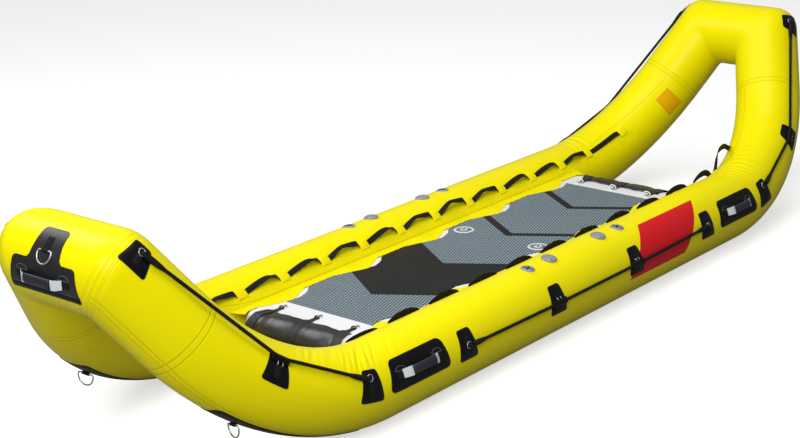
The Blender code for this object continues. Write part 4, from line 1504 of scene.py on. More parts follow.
@dataclass
class CarryHandles:
    """The carry handles: padded grips on webbing, sewn to black patches.

    Attributes:
        run: The run of a side handle.
        angle: The angle of its grip.
        cross_angle: The angle from straight up of an end handle's grip.
        ring_angle: The angle from straight up of an end D-ring.
        ring_lift: The height of its bar over the skin.
    """

    run: float = 1.165
    angle: float = 69.0
    cross_angle: float = 92.0
    ring_angle: float = 58.0
    ring_lift: float = 0.0075
    thickness: float = 0.0022
    grip_half: float = 0.064
    grip_section: Pair = (0.0150, 0.0085)
    strap_profile: tuple[Pair, ...] = (
        (-0.127, 0.0), (-0.108, 0.0012), (-0.074, 0.0215), (-0.064, 0.0235), (0.064, 0.0235),
        (0.074, 0.0215), (0.108, 0.0012), (0.127, 0.0))

    def build(self) -> None:
        """Build the side handles and the end handles."""
        for end in End:
            self.end_handle(end)
            for side in Side:
                self.side_handle(end, side)

    def grip(self, angle: float) -> list[Piece]:
        """Make a sewn grip with its strap and light tabs, at an angle round the tube.

        Args:
            angle: The angle round the tube, in degrees.

        Returns:
            Its painted parts.
        """
        bpy.ops.mesh.primitive_cylinder_add(vertices=24, radius=1.0, depth=2.0 * self.grip_half,
                                            rotation=(0.0, pi / 2.0, 0.0), calc_uvs=False)
        tube = take("grip")
        tube.data.transform(Matrix.Diagonal((1.0, *self.grip_section, 1.0)))
        with editing(tube, Part.EDGE):
            pick(tube, Part.EDGE, lambda e: abs(e.verts[0].co.x - e.verts[1].co.x) < 1e-6)
            bpy.ops.mesh.bevel(offset=0.003, segments=3, affect="EDGES")
        slice_across(tube, 0, 0.024)
        keep_layout(tube)
        pieces = [paint(shift(tube, z=0.0262), GRIP_RUBBER)]
        pieces.append(paint(self.band(60, (-0.127, -0.0125), (0.254, 0.025), 0.0024, 0.0018), BLACK_WEBBING))
        for way in (-1.0, 1.0):
            tab = self.band(12, (way * 0.084 - 0.017, -0.0155), (0.034, 0.031), 0.0042, 0.0012)
            pieces.append(paint(tab, GREY_WEBBING))
        return [shift(piece, 0.0, FORM.arc(angle)) for piece in pieces + self.stitching()]

    def band(self, columns: int, corner: Pair, size: Pair, lift: float, thickness: float) -> Piece:
        """Lay a band of webbing over the strap's profile.

        Args:
            columns: The columns along it.
            corner: Its low corner.
            size: Its length and width.
            lift: Its height over the profile.
            thickness: Its thickness.

        Returns:
            The band.
        """
        piece = sheet_grid("band", columns, 2)
        piece.data.transform(Matrix.Translation((*corner, 0.0)) @ Matrix.Diagonal((*size, 1.0, 1.0)))
        keep_layout(piece)
        for vertex in piece.data.vertices:
            vertex.co.z = blend(self.strap_profile, vertex.co.x) + lift
        thicken(piece, thickness)
        return piece

    def stitching(self) -> list[Piece]:
        """Sew the raised arcs at both ends of a grip.

        Returns:
            The arcs.
        """
        made = []
        for way in (-1.0, 1.0):
            turns = [radians(180.0 + 180.0 * step / 14.0) for step in range(15)]
            points = [Vector((way * 0.104 + 0.027 * cos(turn), -0.014 + 0.016 * sin(turn),
                              self.thickness + 0.0004)) for turn in turns]
            points += [points[0] + (points[-1] - points[0]) * 0.75, points[0]]
            made.append(paint(hose("stitch", points, (0.0011, 0.0008), 6), GREY_SEAM))
        return made

    def side_handle(self, end: End, side: Side) -> None:
        """Build one side handle with its patch.

        Args:
            end: The end of the boat.
            side: The side of the boat.
        """
        low, high = FORM.arc(45.0), FORM.arc(90.0)
        corners = [(-0.148, low), (0.148, low), (-0.171, high), (0.171, high)]
        base = plate("patch", corners, self.thickness, 0.024, 0.0007, 6)
        slice_across(base, 1, 0.010)
        name = f"carry_handle_{end}_{side}"
        made = join(name + "_dressed", [paint(base, BLACK_PATCH)] + self.grip(self.angle))
        slice_across(made, 0, 0.03)
        lay(shift(made, end.value * self.run, 0.0, 0.0002), FORM.on_side(side))
        dress(made, "patch_black", name)

    def end_handle(self, end: End) -> None:
        """Build one end handle, its shaped patch and the sleeve of its D-ring.

        Args:
            end: The end of the boat.
        """
        arc = FORM.arc
        corners = [(-0.152, arc(70.6)), (0.152, arc(70.6)), (-0.174, arc(113.4)), (0.174, arc(113.4))]
        bpy.ops.mesh.primitive_plane_add(size=1.0, calc_uvs=False)
        base = take("patch")
        for vertex, (x, y) in zip(base.data.vertices, corners):
            vertex.co = (x, y, 0.0)
        with editing(base):
            for x in (-0.086, 0.086):
                everything()
                bpy.ops.mesh.bisect(plane_co=(x, 0.0, 0.0), plane_no=(1.0, 0.0, 0.0))
            pick(base, Part.EDGE, lambda edge: all(v.co.y < corners[0][1] + 1e-4 and abs(v.co.x) < 0.09
                                                   for v in edge.verts))
            for angle, half in ((66.0, 0.074), (49.6, 0.066), (27.1, 0.060)):
                bpy.ops.mesh.extrude_region_move()
                self.place_row(base, arc(angle), half)
            pick(base, Part.VERT, lambda v: self.is_corner(v, corners, arc))
            bpy.ops.mesh.bevel(offset=0.016, segments=5, affect="VERTICES")
            everything()
            bpy.ops.mesh.extrude_region_move(TRANSFORM_OT_translate={"value": (0.0, 0.0, self.thickness)})
            bpy.ops.mesh.normals_make_consistent(inside=False)
        keep_layout(base)
        slice_across(base, 1, 0.010)
        pieces = [paint(base, END_PATCH)] + self.grip(self.cross_angle)
        band = box_plate("band", (-0.165, 0.165), (arc(106.0), arc(112.0)), 0.0012, 0.002, 0.0004)
        slice_across(band, 1, 0.008)
        pieces.append(paint(shift(band, z=self.thickness - 0.0002), BLACK_PATCH))
        for way in (-1.0, 1.0):
            points = [Vector((way * x, arc(104.0), self.thickness + 0.0004)) for x in (0.104, 0.135, 0.164)]
            pieces.append(paint(hose("seam", points, (0.0010, 0.0006), 6), GREY_SEAM))
        tab = box_plate("ring_tab", (-0.0145, 0.0145), (arc(40.0), arc(60.0)), 0.0022, 0.002)
        slice_across(tab, 1, 0.010)
        pieces.append(paint(shift(tab, z=self.thickness - 0.0002), BLACK_WEBBING))
        made = join("carry_handle", pieces)
        slice_across(made, 0, 0.03)
        lay(shift(made, z=0.0009), FORM.on_cross(end))
        sleeve = bar_sleeve(end, 0.0, self.ring_angle, self.ring_lift, Vector((0.0, 1.0, 0.0)))
        made = join(f"carry_handle_{end}_dressed", [made, sleeve])
        smooth(made)
        dress(made, "patch_black", f"carry_handle_{end}")

    def place_row(self, piece: Piece, y: float, half: float) -> None:
        """Move the edge that was just extruded to a height and a half width.

        Args:
            piece: The piece.
            y: The height, in metres.
            half: The half width, in metres.
        """
        mesh = bmesh.from_edit_mesh(piece.data)
        for vertex in mesh.verts:
            if vertex.select:
                vertex.co.x = copysign(half, vertex.co.x)
                vertex.co.y = y
        bmesh.update_edit_mesh(piece.data)

    def is_corner(self, vertex: bmesh.types.BMVert, corners: Sequence[Pair],
                  arc: Callable[[float], float]) -> bool:
        """Return whether a vertex is one of the patch's round corners."""
        outer = any((vertex.co.xy - Vector(corner)).length < 1e-4 for corner in corners)
        return outer or vertex.co.y < arc(27.2)

class LoopShape(Enum):
    """How a loop of webbing stands, as (share from the stern, share of its rise, turn in degrees)."""

    ARCH = ((0.0, 0.0, 0.0), (0.06, 0.34, -4.0), (0.14, 0.72, -14.0), (0.26, 0.97, -22.0), (0.34, 1.0, -24.0),
            (0.48, 0.90, -18.0), (0.64, 0.66, -8.0), (0.80, 0.37, 0.0), (0.92, 0.13, 0.0), (1.0, 0.0, 0.0))
    LEANING = ((0.0, 0.0, 0.0), (0.05, 0.42, -10.0), (0.10, 0.62, -26.0), (0.20, 0.80, -34.0),
               (0.30, 1.0, -34.0), (0.44, 0.96, -22.0), (0.60, 0.74, -8.0), (0.78, 0.42, 0.0),
               (0.92, 0.15, 0.0), (1.0, 0.0, 0.0))
    FLAT = ((0.0, 0.0, 0.0), (0.05, 0.50, 0.0), (0.12, 0.66, -2.0), (0.28, 0.78, -8.0), (0.42, 0.90, -20.0),
            (0.54, 1.0, -32.0), (0.66, 0.92, -42.0), (0.78, 0.62, -36.0), (0.90, 0.22, -10.0), (1.0, 0.0, 0.0))
    ROUND = ((0.0, 0.0, 12.0), (0.07, 0.34, 22.0), (0.18, 0.68, 30.0), (0.32, 0.93, 34.0), (0.48, 1.0, 36.0),
             (0.64, 0.90, 34.0), (0.80, 0.60, 30.0), (0.92, 0.26, 22.0), (1.0, 0.0, 12.0))
    TALL = ((0.0, 0.0, 10.0), (0.13, 0.22, 18.0), (0.28, 0.50, 26.0), (0.43, 0.76, 30.0), (0.59, 0.93, 32.0),
            (0.74, 1.0, 32.0), (0.87, 0.97, 28.0), (0.94, 0.60, 16.0), (1.0, 0.0, 6.0))
    END = ((0.0, 0.0, 0.0), (0.05, 0.50, -4.0), (0.12, 0.90, -6.0), (0.22, 1.0, -6.0), (0.45, 0.78, -4.0),
           (0.70, 0.46, -2.0), (0.90, 0.18, 0.0), (1.0, 0.0, 0.0))


@dataclass
class GrabWebbing:
    """The run of webbing loops inside each tube, with the squares that hold it down.

    Attributes:
        angle: The angle round the tube.
        half_width: Half the webbing's width.
        port_drop: How much further down the port webbing reaches.
        pitch: The spacing of the loops.
        gap: The length held down between two loops.
        end_loop: The runs of the loop on a bend.
        offset: How far each side's run lies towards the bow.
        starboard: The shape and rise of each starboard loop from the stern.
        port_rises: The rise of each port loop from the stern.
        end_rises: The rise of the loop on each bend.
    """

    angle: float = -44.3
    half_width: float = 0.0125
    port_drop: float = 0.007
    pitch: float = 0.2485
    gap: float = 0.0511
    thickness: float = 0.0020
    end_loop: Pair = (1.412, 1.662)
    offset: dict[Side, float] = field(default_factory=lambda: {Side.PORT: -0.040, Side.STARBOARD: 0.0})
    starboard: tuple[tuple[LoopShape, float], ...] = (
        (LoopShape.FLAT, 0.026), (LoopShape.ARCH, 0.026), (LoopShape.ARCH, 0.029), (LoopShape.FLAT, 0.030),
        (LoopShape.FLAT, 0.038), (LoopShape.FLAT, 0.031), (LoopShape.LEANING, 0.031), (LoopShape.FLAT, 0.030),
        (LoopShape.LEANING, 0.027), (LoopShape.LEANING, 0.026), (LoopShape.FLAT, 0.022))
    port_rises: tuple[float, ...] = (0.034, 0.022, 0.019, 0.022, 0.018, 0.020, 0.021, 0.018, 0.021, 0.021, 0.009)
    end_rises: dict[tuple[End, Side], float] = field(default_factory=lambda: {
        (End.STERN, Side.PORT): 0.085, (End.STERN, Side.STARBOARD): 0.012,
        (End.BOW, Side.PORT): 0.010, (End.BOW, Side.STARBOARD): 0.012})

    def build(self) -> None:
        """Build both runs of webbing."""
        for side in Side:
            self.webbing(side)

    def profile(self, side: Side) -> list[tuple[float, float, float]]:
        """Return (run, rise, turn) along one run of webbing, from the stern to the bow.

        Args:
            side: The side of the boat.

        Returns:
            The rows, in metres and degrees.
        """
        shapes = self.starboard
        if side is Side.PORT:
            shapes = tuple((LoopShape.ROUND, rise) for rise in self.port_rises)
        half = (self.pitch - self.gap) / 2.0
        first = -self.pitch * (len(shapes) - 1) / 2.0
        near, far = self.end_loop
        rows = [(-far - 0.022, 0.0, 0.0)]
        rise = self.end_rises[(End.STERN, side)]
        shape = LoopShape.TALL if side is Side.PORT else LoopShape.END
        rows += [(-far + (far - near) * share, rise * height, turn) for share, height, turn in shape.value]
        for index, (shape, rise) in enumerate(shapes):
            start = first + self.pitch * index - half
            rows += [(start + 2.0 * half * share, rise * height, turn) for share, height, turn in shape.value]
        rise = self.end_rises[(End.BOW, side)]
        mirrored = reversed(LoopShape.END.value)
        rows += [(near + (far - near) * (1.0 - share), rise * height, turn) for share, height, turn in mirrored]
        rows.append((far + 0.022, 0.0, 0.0))
        return [(run + self.offset[side], rise, turn) for run, rise, turn in rows]

    def smoothed(self, side: Side) -> list[tuple[float, float, float]]:
        """Return the profile with one more row between every two, on soft curves.

        Args:
            side: The side of the boat.

        Returns:
            The rows, in metres and degrees.
        """
        rows = self.profile(side)
        made = [rows[0]]
        for index in range(1, len(rows)):
            before, start, finish = rows[max(index - 2, 0)], rows[index - 1], rows[index]
            after = rows[min(index + 1, len(rows) - 1)]
            if finish[0] - start[0] > 0.004:
                corners = zip(before, start, finish, after)
                made.append(tuple((9.0 * (b + c) - a - d) / 16.0 for a, b, c, d in corners))
            made.append(finish)
        return made

    def webbing(self, side: Side) -> None:
        """Lay one run of webbing with its squares.

        Args:
            side: The side of the boat.
        """
        rows = self.smoothed(side)
        last = len(rows) - 1
        strip = sheet_grid("strip", last, 4)
        low = -self.half_width - (self.port_drop if side is Side.PORT else 0.0)
        places = [(rows[round(vertex.co.x * last)], low + (self.half_width - low) * vertex.co.y)
                  for vertex in strip.data.vertices]
        keep_layout(strip, lambda v: (places[v.index][0][0], places[v.index][1]))
        place = FORM.on_side(side)
        arc = FORM.arc(self.angle)
        for vertex, ((run, rise, turn), across) in zip(strip.data.vertices, places):
            base = place(Vector((run, arc, 0.0008)))
            if rise == 0.0:
                vertex.co = place(Vector((run, arc + across, 0.0008)))
                continue
            along = (place(Vector((run, arc + 0.01, 0.0))) - place(Vector((run, arc - 0.01, 0.0)))).normalized()
            out = (place(Vector((run, arc, 1.0))) - place(Vector((run, arc, 0.0)))).normalized()
            width = along * cos(radians(turn)) + out * sin(radians(turn))
            vertex.co = base + Vector((0.0, 0.0, rise)) + width * across
        thicken(strip, self.thickness)
        face_outwards(strip)
        smooth(strip, 50.0)
        pieces = [paint(strip, BLACK_WEBBING)]
        pattern = box_plate("square", (-self.gap / 2.0 - 0.002, self.gap / 2.0 + 0.002), (-0.021, 0.021),
                            0.0040, 0.003, 0.0012)
        slice_across(pattern, 1, 0.010)
        count = len(self.starboard)
        runs = [-self.pitch * count / 2.0 + self.pitch * index for index in range(count + 1)]
        runs += [-self.end_loop[1] - 0.022, self.end_loop[1] + 0.022]
        for run in runs:
            square = shift(copy_of(pattern, "square"), run + self.offset[side], arc, 0.0)
            slice_across(square, 0, 0.028)
            pieces.append(paint(lay(square, place), YELLOW_PATCH))
        discard(pattern)
        dress(join(f"grab_webbing_{side}_dressed", pieces), "webbing_black", f"grab_webbing_{side}")


@dataclass
class WearPatches:
    """The black wear patches under the bends, with their D-ring sleeves.

    Attributes:
        start: The run of a patch's near end.
        finish: The run of its far end.
        ring_run: The run of its D-ring.
        ring_lift: The height of the ring's bar over the skin.
        angle: The angle of a patch's middle round the tube.
        half_angle: How far it reaches to each side of that, in degrees.
    """

    start: float = 1.3756
    finish: float = 1.9587
    ring_run: float = 1.850
    ring_lift: float = 0.0076
    angle: float = 180.0
    half_angle: float = 25.0
    thickness: float = 0.0022

    def build(self) -> None:
        """Build the four patches."""
        low, high = FORM.arc(self.angle - self.half_angle), FORM.arc(self.angle + self.half_angle)
        pattern = box_plate("wear", (self.start, self.finish), (low, high), self.thickness, 0.030, 0.0008)
        slice_across(pattern, 1, 0.012)
        slice_across(pattern, 0, 0.030)
        for end in End:
            for side in Side:
                self.patch(end, side, pattern)
        discard(pattern)

    def patch(self, end: End, side: Side, pattern: Piece) -> None:
        """Lay one patch and roll its sleeve.

        Args:
            end: The end of the boat.
            side: The side of the boat.
            pattern: The flat patch, which is copied.
        """
        name = f"wear_patch_{end}_{side}"
        piece = copy_of(pattern, "patch")
        piece.data.transform(Matrix.Diagonal((float(end.value), 1.0, 1.0, 1.0)))
        lay(shift(piece, z=0.0002), FORM.on_side(side))
        run = end.value * self.ring_run
        sleeve = bar_sleeve(side, run, self.angle, self.ring_lift, FORM.course(run, side)[3])
        dress(join(name + "_dressed", [paint(piece, BLACK_PATCH), sleeve]), "patch_black", name)


@dataclass
class DeeRings:
    """The steel D-rings on the ends and under the bends.

    Attributes:
        wire: The wire's radius.
        half_width: Half a ring's width.
        depth: Its depth.
        tilt: How far an end ring leans in from the tangent.
    """

    wire: float = 0.0032
    half_width: float = 0.033
    depth: float = 0.046
    tilt: float = radians(6.5)

    def build(self) -> None:
        """Build the six rings, each on its own body."""
        handles, patches = CarryHandles(), WearPatches()
        down = Vector((0.0, 0.0, -1.0))
        for end in End:
            lean = radians(handles.ring_angle) + self.tilt
            hang = Vector((end.value * cos(lean), 0.0, -sin(lean)))
            bar = FORM.at(end, 0.0, handles.ring_angle, handles.ring_lift)
            self.ring(f"{end}", bar, Vector((0.0, 1.0, 0.0)), hang)
            for side in Side:
                run = end.value * patches.ring_run
                axis = FORM.course(run, side)[3]
                hang = (down - axis * down.dot(axis)).normalized()
                bar = FORM.at(side, run, patches.angle, patches.ring_lift)
                self.ring(f"{end}_{side}", bar, axis, hang)

    def ring(self, place: str, bar: Vector, axis: Vector, hang: Vector) -> None:
        """Bend one ring.

        Args:
            place: Where it is, as its solid and its body are named.
            bar: The middle of its bar.
            axis: The bar's direction.
            hang: The direction of its bow.
        """
        half = self.half_width
        heel = [(-half, 0.25 * half), (-0.95 * half, 0.05 * half)]
        path = [(across, 0.0) for across in spread(-0.8 * half, 0.8 * half, 6)]
        path += [(0.95 * half, 0.05 * half), (half, 0.25 * half)]
        for step in range(17):
            turn = pi * step / 16.0
            path.append((half * cos(turn), self.depth - half + half * sin(turn)))
        points = [bar + axis * across + hang * down for across, down in path + heel]
        piece = hose(f"d_ring_{place}_wire", points, (self.wire, self.wire), 12,
                     [axis.cross(hang).normalized()], closed=True)
        dress(paint(piece, STEEL), "steel", f"d_ring_{place}", body=f"{place}_ring")


@dataclass
class TubeValves:
    """The relief and inflation valves on the side tubes.

    Attributes:
        dome_x: The distance of a relief valve from the middle of its row.
        plug_x: The distance of an inflation valve.
        row_x: The middle of each row, along the boat.
        angle: The angle round the tube.
    """

    dome_x: float = 0.180
    plug_x: float = 0.328
    row_x: float = -0.012
    angle: float = 7.5

    def build(self) -> None:
        """Build all eight valves, each on a yellow ring patch."""
        collar = drum("collar", 48, 0.042, 0.0012)
        slice_across(collar, 1, 0.009)
        paint(collar, YELLOW_PATCH)
        patterns = (("relief_valve", self.dome(), self.dome_x), ("air_valve", self.plug(), self.plug_x))
        for end in End:
            for side in Side:
                for word, pattern, x in patterns:
                    self.seat(f"{word}_{end}_{side}", pattern, end.value * x + self.row_x, side, collar)
        discard(collar, *[pattern for _, pattern, _ in patterns])

    def dome(self) -> Piece:
        """Shape the relief valve's ribbed dome.

        Returns:
            The dome.
        """
        steps = ((0.0015, 0.0018), (0.0050, 0.0034), (0.0070, 0.0024), (0.0090, 0.0012))
        piece = stepped_drum("dome", 40, 0.033, 0.007, 0.0035, steps, GREY_PLASTIC)
        with editing(piece):
            pick(piece, Part.FACE, self.is_rib)
            bpy.ops.mesh.inset(thickness=0.0007, use_individual=True)
            bpy.ops.transform.translate(value=(0.0, 0.0, -0.0018))
        return piece

    def is_rib(self, face: bmesh.types.BMFace) -> bool:
        """Return whether a face of the dome is one of its slots.

        Args:
            face: The face.

        Returns:
            Whether it is one.
        """
        centre = face.calc_center_median()
        away = centre.xy.length
        turn = degrees(atan2(centre.y, centre.x)) % 45.0
        return 0.019 < away < 0.029 and face.normal.z > 0.5 and turn < 18.0

    def plug(self) -> Piece:
        """Shape the inflation valve with its cross-shaped key.

        Returns:
            The valve.
        """
        steps = ((0.0015, 0.0016), (0.0060, 0.0036), (0.0015, -0.0030), (0.0090, 0.0006))
        body = stepped_drum("plug", 40, 0.030, 0.003, 0.0015, steps, GREY_PLASTIC)
        return join("plug", [body] + cross_key(0.0195, 0.0030, 0.0026, radians(20.0)))

    def seat(self, name: str, pattern: Piece, run: float, side: Side, collar: Piece) -> None:
        """Seat a copy of a valve and its collar on a tube.

        Args:
            name: The solid that it stands for.
            pattern: The valve to copy.
            run: Its run.
            side: The tube's side.
            collar: The collar to copy.
        """
        ring = lay(shift(copy_of(collar, "collar"), run, FORM.arc(self.angle), 0.0004), FORM.on_side(side))
        base = FORM.at(side, run, self.angle, 0.0)
        up = FORM.at(side, run, self.angle, 1.0) - base
        valve = copy_of(pattern, "valve")
        turn = up.normalized().to_track_quat("Z", "X").to_matrix().to_4x4()
        valve.data.transform(Matrix.Translation(base + up * -0.0022) @ turn)
        made = join(name + "_dressed", [valve, ring])
        smooth(made, 30.0)
        dress(made, "valve_grey", name)


@dataclass
class DeckFloor:
    """The drop-stitch floor, its foam pad, the flaps that tie it to the tubes and its valves.

    Attributes:
        half_length: Half the floor's length.
        half_width: Half its width.
        corner: Its corner radius.
        top: The height of its top.
        thickness: Its thickness.
        edge_depth: How far its oval edge reaches in.
        flap_half_length: Half a flap's length.
        flap_end: A flap's inner edge round the floor's corner, as (distance from midships, from the middle).
    """

    half_length: float = 1.18
    half_width: float = 0.2992
    corner: float = 0.055
    top: float = 0.220
    thickness: float = 0.10
    edge_depth: float = 0.030
    flap_half_length: float = 1.215
    flap_end: tuple[Pair, ...] = (
        (1.12, 0.277), (1.15, 0.276), (1.17, 0.268), (1.182, 0.259), (1.215, 0.3114))
    flap_outer: float = 0.3126
    tabs: tuple[float, ...] = (0.966, 0.5035, 0.041, -0.4215, -0.884)
    tab_edge: tuple[Pair, ...] = (
        (-0.144, 0.277), (-0.103, 0.257), (-0.059, 0.239), (-0.022, 0.220), (0.0, 0.220),
        (0.038, 0.233), (0.082, 0.251), (0.143, 0.277))
    valve_x: float = -0.145
    valve_y: float = 0.201
    slate_pads: tuple[str, ...] = ("pad_bow", "pad_middle", "pad_aft", "pad_stern")
    black_pads: tuple[str, ...] = ("pad_chevron", "pad_stripe_fore", "pad_stripe_aft")

    def build(self) -> None:
        """Build the floor and what lies on it."""
        self.panel()
        for name in self.slate_pads + self.black_pads:
            finish = SLATE_FOAM if name in self.slate_pads else BLACK_FOAM
            paint(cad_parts[name], finish)
            log.info("%s keeps its solid", name)
        for side in Side:
            self.flap(side)
            self.valve(side)

    def panel(self) -> None:
        """Shape the floor panel from a block with round corners and full oval edges."""
        bpy.ops.mesh.primitive_cube_add(size=1.0, scale=(2.0 * self.half_length, 2.0 * self.half_width,
                                                         2.0 * self.edge_depth), calc_uvs=False)
        piece = take("floor_panel_skin")
        with editing(piece, Part.EDGE):
            pick(piece, Part.EDGE, lambda edge: abs(edge.verts[0].co.z - edge.verts[1].co.z) > 0.03)
            bpy.ops.mesh.bevel(offset=self.corner, segments=10, affect="EDGES")
            pick(piece, Part.EDGE, lambda edge: abs(edge.verts[0].co.z - edge.verts[1].co.z) < 1e-5)
            bpy.ops.mesh.bevel(offset=self.edge_depth - 0.0005, segments=8, affect="EDGES",
                               clamp_overlap=False)
        piece.data.transform(Matrix.Diagonal((1.0, 1.0, self.thickness / (2.0 * self.edge_depth), 1.0)))
        shift(piece, z=self.top - self.thickness / 2.0)
        keep_layout(piece)
        smooth(piece, 30.0)
        dress(paint(piece, WHITE_SKIN), "floor_white", "floor_panel")

    def edge(self, x: float) -> float:
        """Return the flap's inner edge at a place along the boat.

        Args:
            x: The place along the boat, in metres.

        Returns:
            Its distance from the middle, in metres.
        """
        if abs(x) > self.flap_end[0][0]:
            return blend(self.flap_end, abs(x))
        for tab in self.tabs:
            if self.tab_edge[0][0] <= x - tab <= self.tab_edge[-1][0]:
                return blend(self.tab_edge, x - tab)
        return self.tab_edge[0][1]

    def flap(self, side: Side) -> None:
        """Lay one scalloped flap from the floor up to the tube.

        Args:
            side: The side of the boat.
        """
        piece = sheet_grid(f"floor_flap_{side}_skin", 372, 5)
        for vertex in piece.data.vertices:
            x = (vertex.co.x * 2.0 - 1.0) * self.flap_half_length
            y = self.edge(x) + (self.flap_outer - self.edge(x)) * vertex.co.y
            rise = max(0.0, (y - 0.285) / 0.028)
            vertex.co = (x, side.value * y, self.top + 0.0005 + 0.003 * rise * rise)
        keep_layout(piece)
        thicken(piece, 0.0016 * side.value)
        face_outwards(piece)
        smooth(piece, 30.0)
        dress(paint(piece, YELLOW_PATCH), "tube_yellow", f"floor_flap_{side}")

    def valve(self, side: Side) -> None:
        """Shape one inflation valve with its clear flange.

        Args:
            side: The side of the boat.
        """
        flange = ((0.003, 0.0014), (0.006, 0.0), (0.0015, -0.0022))
        dish = ((0.010, 0.0), (0.001, 0.0016), (0.0025, 0.0), (0.001, -0.0016))
        cap = ((0.0015, 0.0008), (0.003, 0.0), (0.001, -0.0012))
        pieces = [stepped_drum("flange", 48, 0.046, 0.004, 0.002, flange, CLEAR_PLASTIC),
                  stepped_drum("dish", 48, 0.0352, 0.0010, 0.0036, dish, FLAT_GREY),
                  stepped_drum("cap", 40, 0.0175, 0.0036, 0.0050, cap, CLEAR_PLASTIC)]
        made = join(f"floor_valve_{side}_dressed", pieces + cross_key(0.0145, 0.0022, 0.0030, 0.4))
        shift(made, self.valve_x, side.value * self.valve_y, self.top + 0.0003)
        smooth(made, 30.0)
        dress(made, "valve_clear", f"floor_valve_{side}")


@dataclass
class EndCovers:
    """The glossy covers over the floor's ends, with their straps and deck rings.

    Attributes:
        start: Where a cover begins on the floor's top.
        half_width: Half its width.
        bulges: How far each end's cover swells between the straps.
        thickness: Its thickness where a strap holds it down.
        nose: How far each end's cover stands off the floor's end, straps and all.
        straps: The places of its straps across the boat.
        splay: The share by which a strap moves outwards on its way over the cover.
    """

    start: float = 1.097
    half_width: float = 0.215
    bulges: dict[End, float] = field(default_factory=lambda: {End.BOW: 0.010, End.STERN: 0.006})
    thickness: float = 0.007
    nose: dict[End, float] = field(default_factory=lambda: {End.BOW: 0.024, End.STERN: 0.0})
    straps: tuple[float, ...] = (-0.190, -0.003, 0.186)
    strap_widths: Pair = (0.020, 0.042)
    splay: float = 0.16
    floor: DeckFloor = field(default_factory=DeckFloor)

    def build(self) -> None:
        """Build both covers."""
        for end in End:
            self.cover(end)

    def round_nose(self, travel: float) -> tuple[Vector, Vector]:
        """Return a point on the floor's skin and its outward direction, past the cover's start.

        Args:
            travel: The way past the cover's start, in metres.

        Returns:
            The point and the direction.
        """
        deep, high = self.floor.edge_depth, self.floor.thickness / 2.0
        flat = self.flat_reach()
        centre = Vector((self.floor.half_length - deep, 0.0, self.floor.top - high))
        if travel <= flat:
            return Vector((self.start + travel, 0.0, self.floor.top)), Vector((0.0, 0.0, 1.0))
        turn = min((travel - flat) / self.nose_length(), 1.0) * pi
        out = Vector((high * sin(turn), 0.0, deep * cos(turn))).normalized()
        return centre + Vector((deep * sin(turn), 0.0, high * cos(turn))), out

    def flat_reach(self) -> float:
        """Return the length of a cover that lies on the floor's flat top."""
        return self.floor.half_length - self.floor.edge_depth - self.start

    def nose_length(self) -> float:
        """Return the length round the floor's oval end, half an ellipse."""
        deep, high = self.floor.edge_depth, self.floor.thickness / 2.0
        return pi / 2.0 * (3.0 * (deep + high) - sqrt((3.0 * deep + high) * (deep + 3.0 * high)))

    def stand(self, travel: float, end: End) -> float:
        """Return how high a cover stands over the floor under a strap."""
        return self.thickness + self.nose[end] * exp(-(((travel - 0.120) / 0.034) ** 2))

    def cover(self, end: End) -> None:
        """Build one cover with its straps, tabs and rings.

        Args:
            end: The end of the boat.
        """
        full = self.flat_reach() + self.nose_length()
        columns, rows = 60, 130
        piece = sheet_grid("cover", columns, rows)
        chance = random.Random(3 + end.value)
        creases = [(chance.uniform(0.02, full), chance.uniform(-0.2, 0.2), chance.uniform(-0.7, 0.7),
                    chance.uniform(0.0003, 0.0012)) for _ in range(30)]
        for vertex in piece.data.vertices:
            y = (vertex.co.y * 2.0 - 1.0) * self.half_width
            wave = 0.0035 * sin(y * 41.0 + 0.8) + 0.0022 * sin(y * 97.0 + 2.0)
            travel = vertex.co.x * full + wave * (1.0 - vertex.co.x) ** 6
            y *= 1.0 - 0.07 * min(1.0, travel / 0.10)
            near = min(abs(y - place) for place in self.straps)
            swell = self.bulges[end] * (1.0 - exp(-((near / 0.038) ** 2)))
            swell *= 0.35 + 0.65 * sin(pi * min(1.0, vertex.co.x / 0.9)) ** 0.7
            edge = min(1.0, vertex.co.x / 0.10, (1.0 - vertex.co.x) / 0.10)
            fold = sum(depth * exp(-(((y - b) + slope * (travel - a)) / 0.011) ** 2)
                       * exp(-(((travel - a) / 0.036) ** 2)) for a, b, slope, depth in creases)
            lift = (self.stand(travel, end) + swell - fold) * sqrt(max(edge, 0.02))
            point, out = self.round_nose(travel)
            vertex.co = point + out * lift + Vector((0.0, y, 0.0))
        keep_layout(piece)
        close_under(piece, self.round_nose, full, columns)
        pieces = [paint(piece, GLOSS_COVER)]
        for place in self.straps:
            pieces.append(self.strap(place, full, end))
            pieces += self.deck_ring(place, end)
        made = join(f"end_cover_{end}_dressed", pieces)
        if end is End.STERN:
            made.data.transform(Matrix.Diagonal((-1.0, 1.0, 1.0, 1.0)))
        face_outwards(made)
        smooth(made, 40.0)
        dress(made, "cover_black", f"end_cover_{end}")

    def strap(self, place: float, full: float, end: End) -> Piece:
        """Lay one strap over the cover.

        Args:
            place: Its distance from the middle, in metres.
            full: Its length, in metres.
            end: The end of the boat.

        Returns:
            The strap.
        """
        strip = sheet_grid("strap", 40, 2)
        for vertex in strip.data.vertices:
            travel = -0.052 + vertex.co.x * (full + 0.052)
            y = place * (1.0 + self.splay * min(1.0, max(0.0, travel / 0.10)))
            y += (vertex.co.y - 0.5) * blend(tuple(zip((-0.03, 0.035), self.strap_widths)), travel)
            point, out = self.round_nose(travel)
            rise = min(1.0, max(0.0, (travel + 0.012) / 0.024))
            fall = min(1.0, max(0.0, (full - travel) / 0.012))
            vertex.co = point + out * (0.0010 + self.stand(travel, end) * rise * fall) + Vector((0.0, y, 0.0))
        keep_layout(strip, lambda v: (v.co.x - v.co.z, v.co.y))
        thicken(strip, 0.0026)
        return paint(strip, COVER_STRAP)

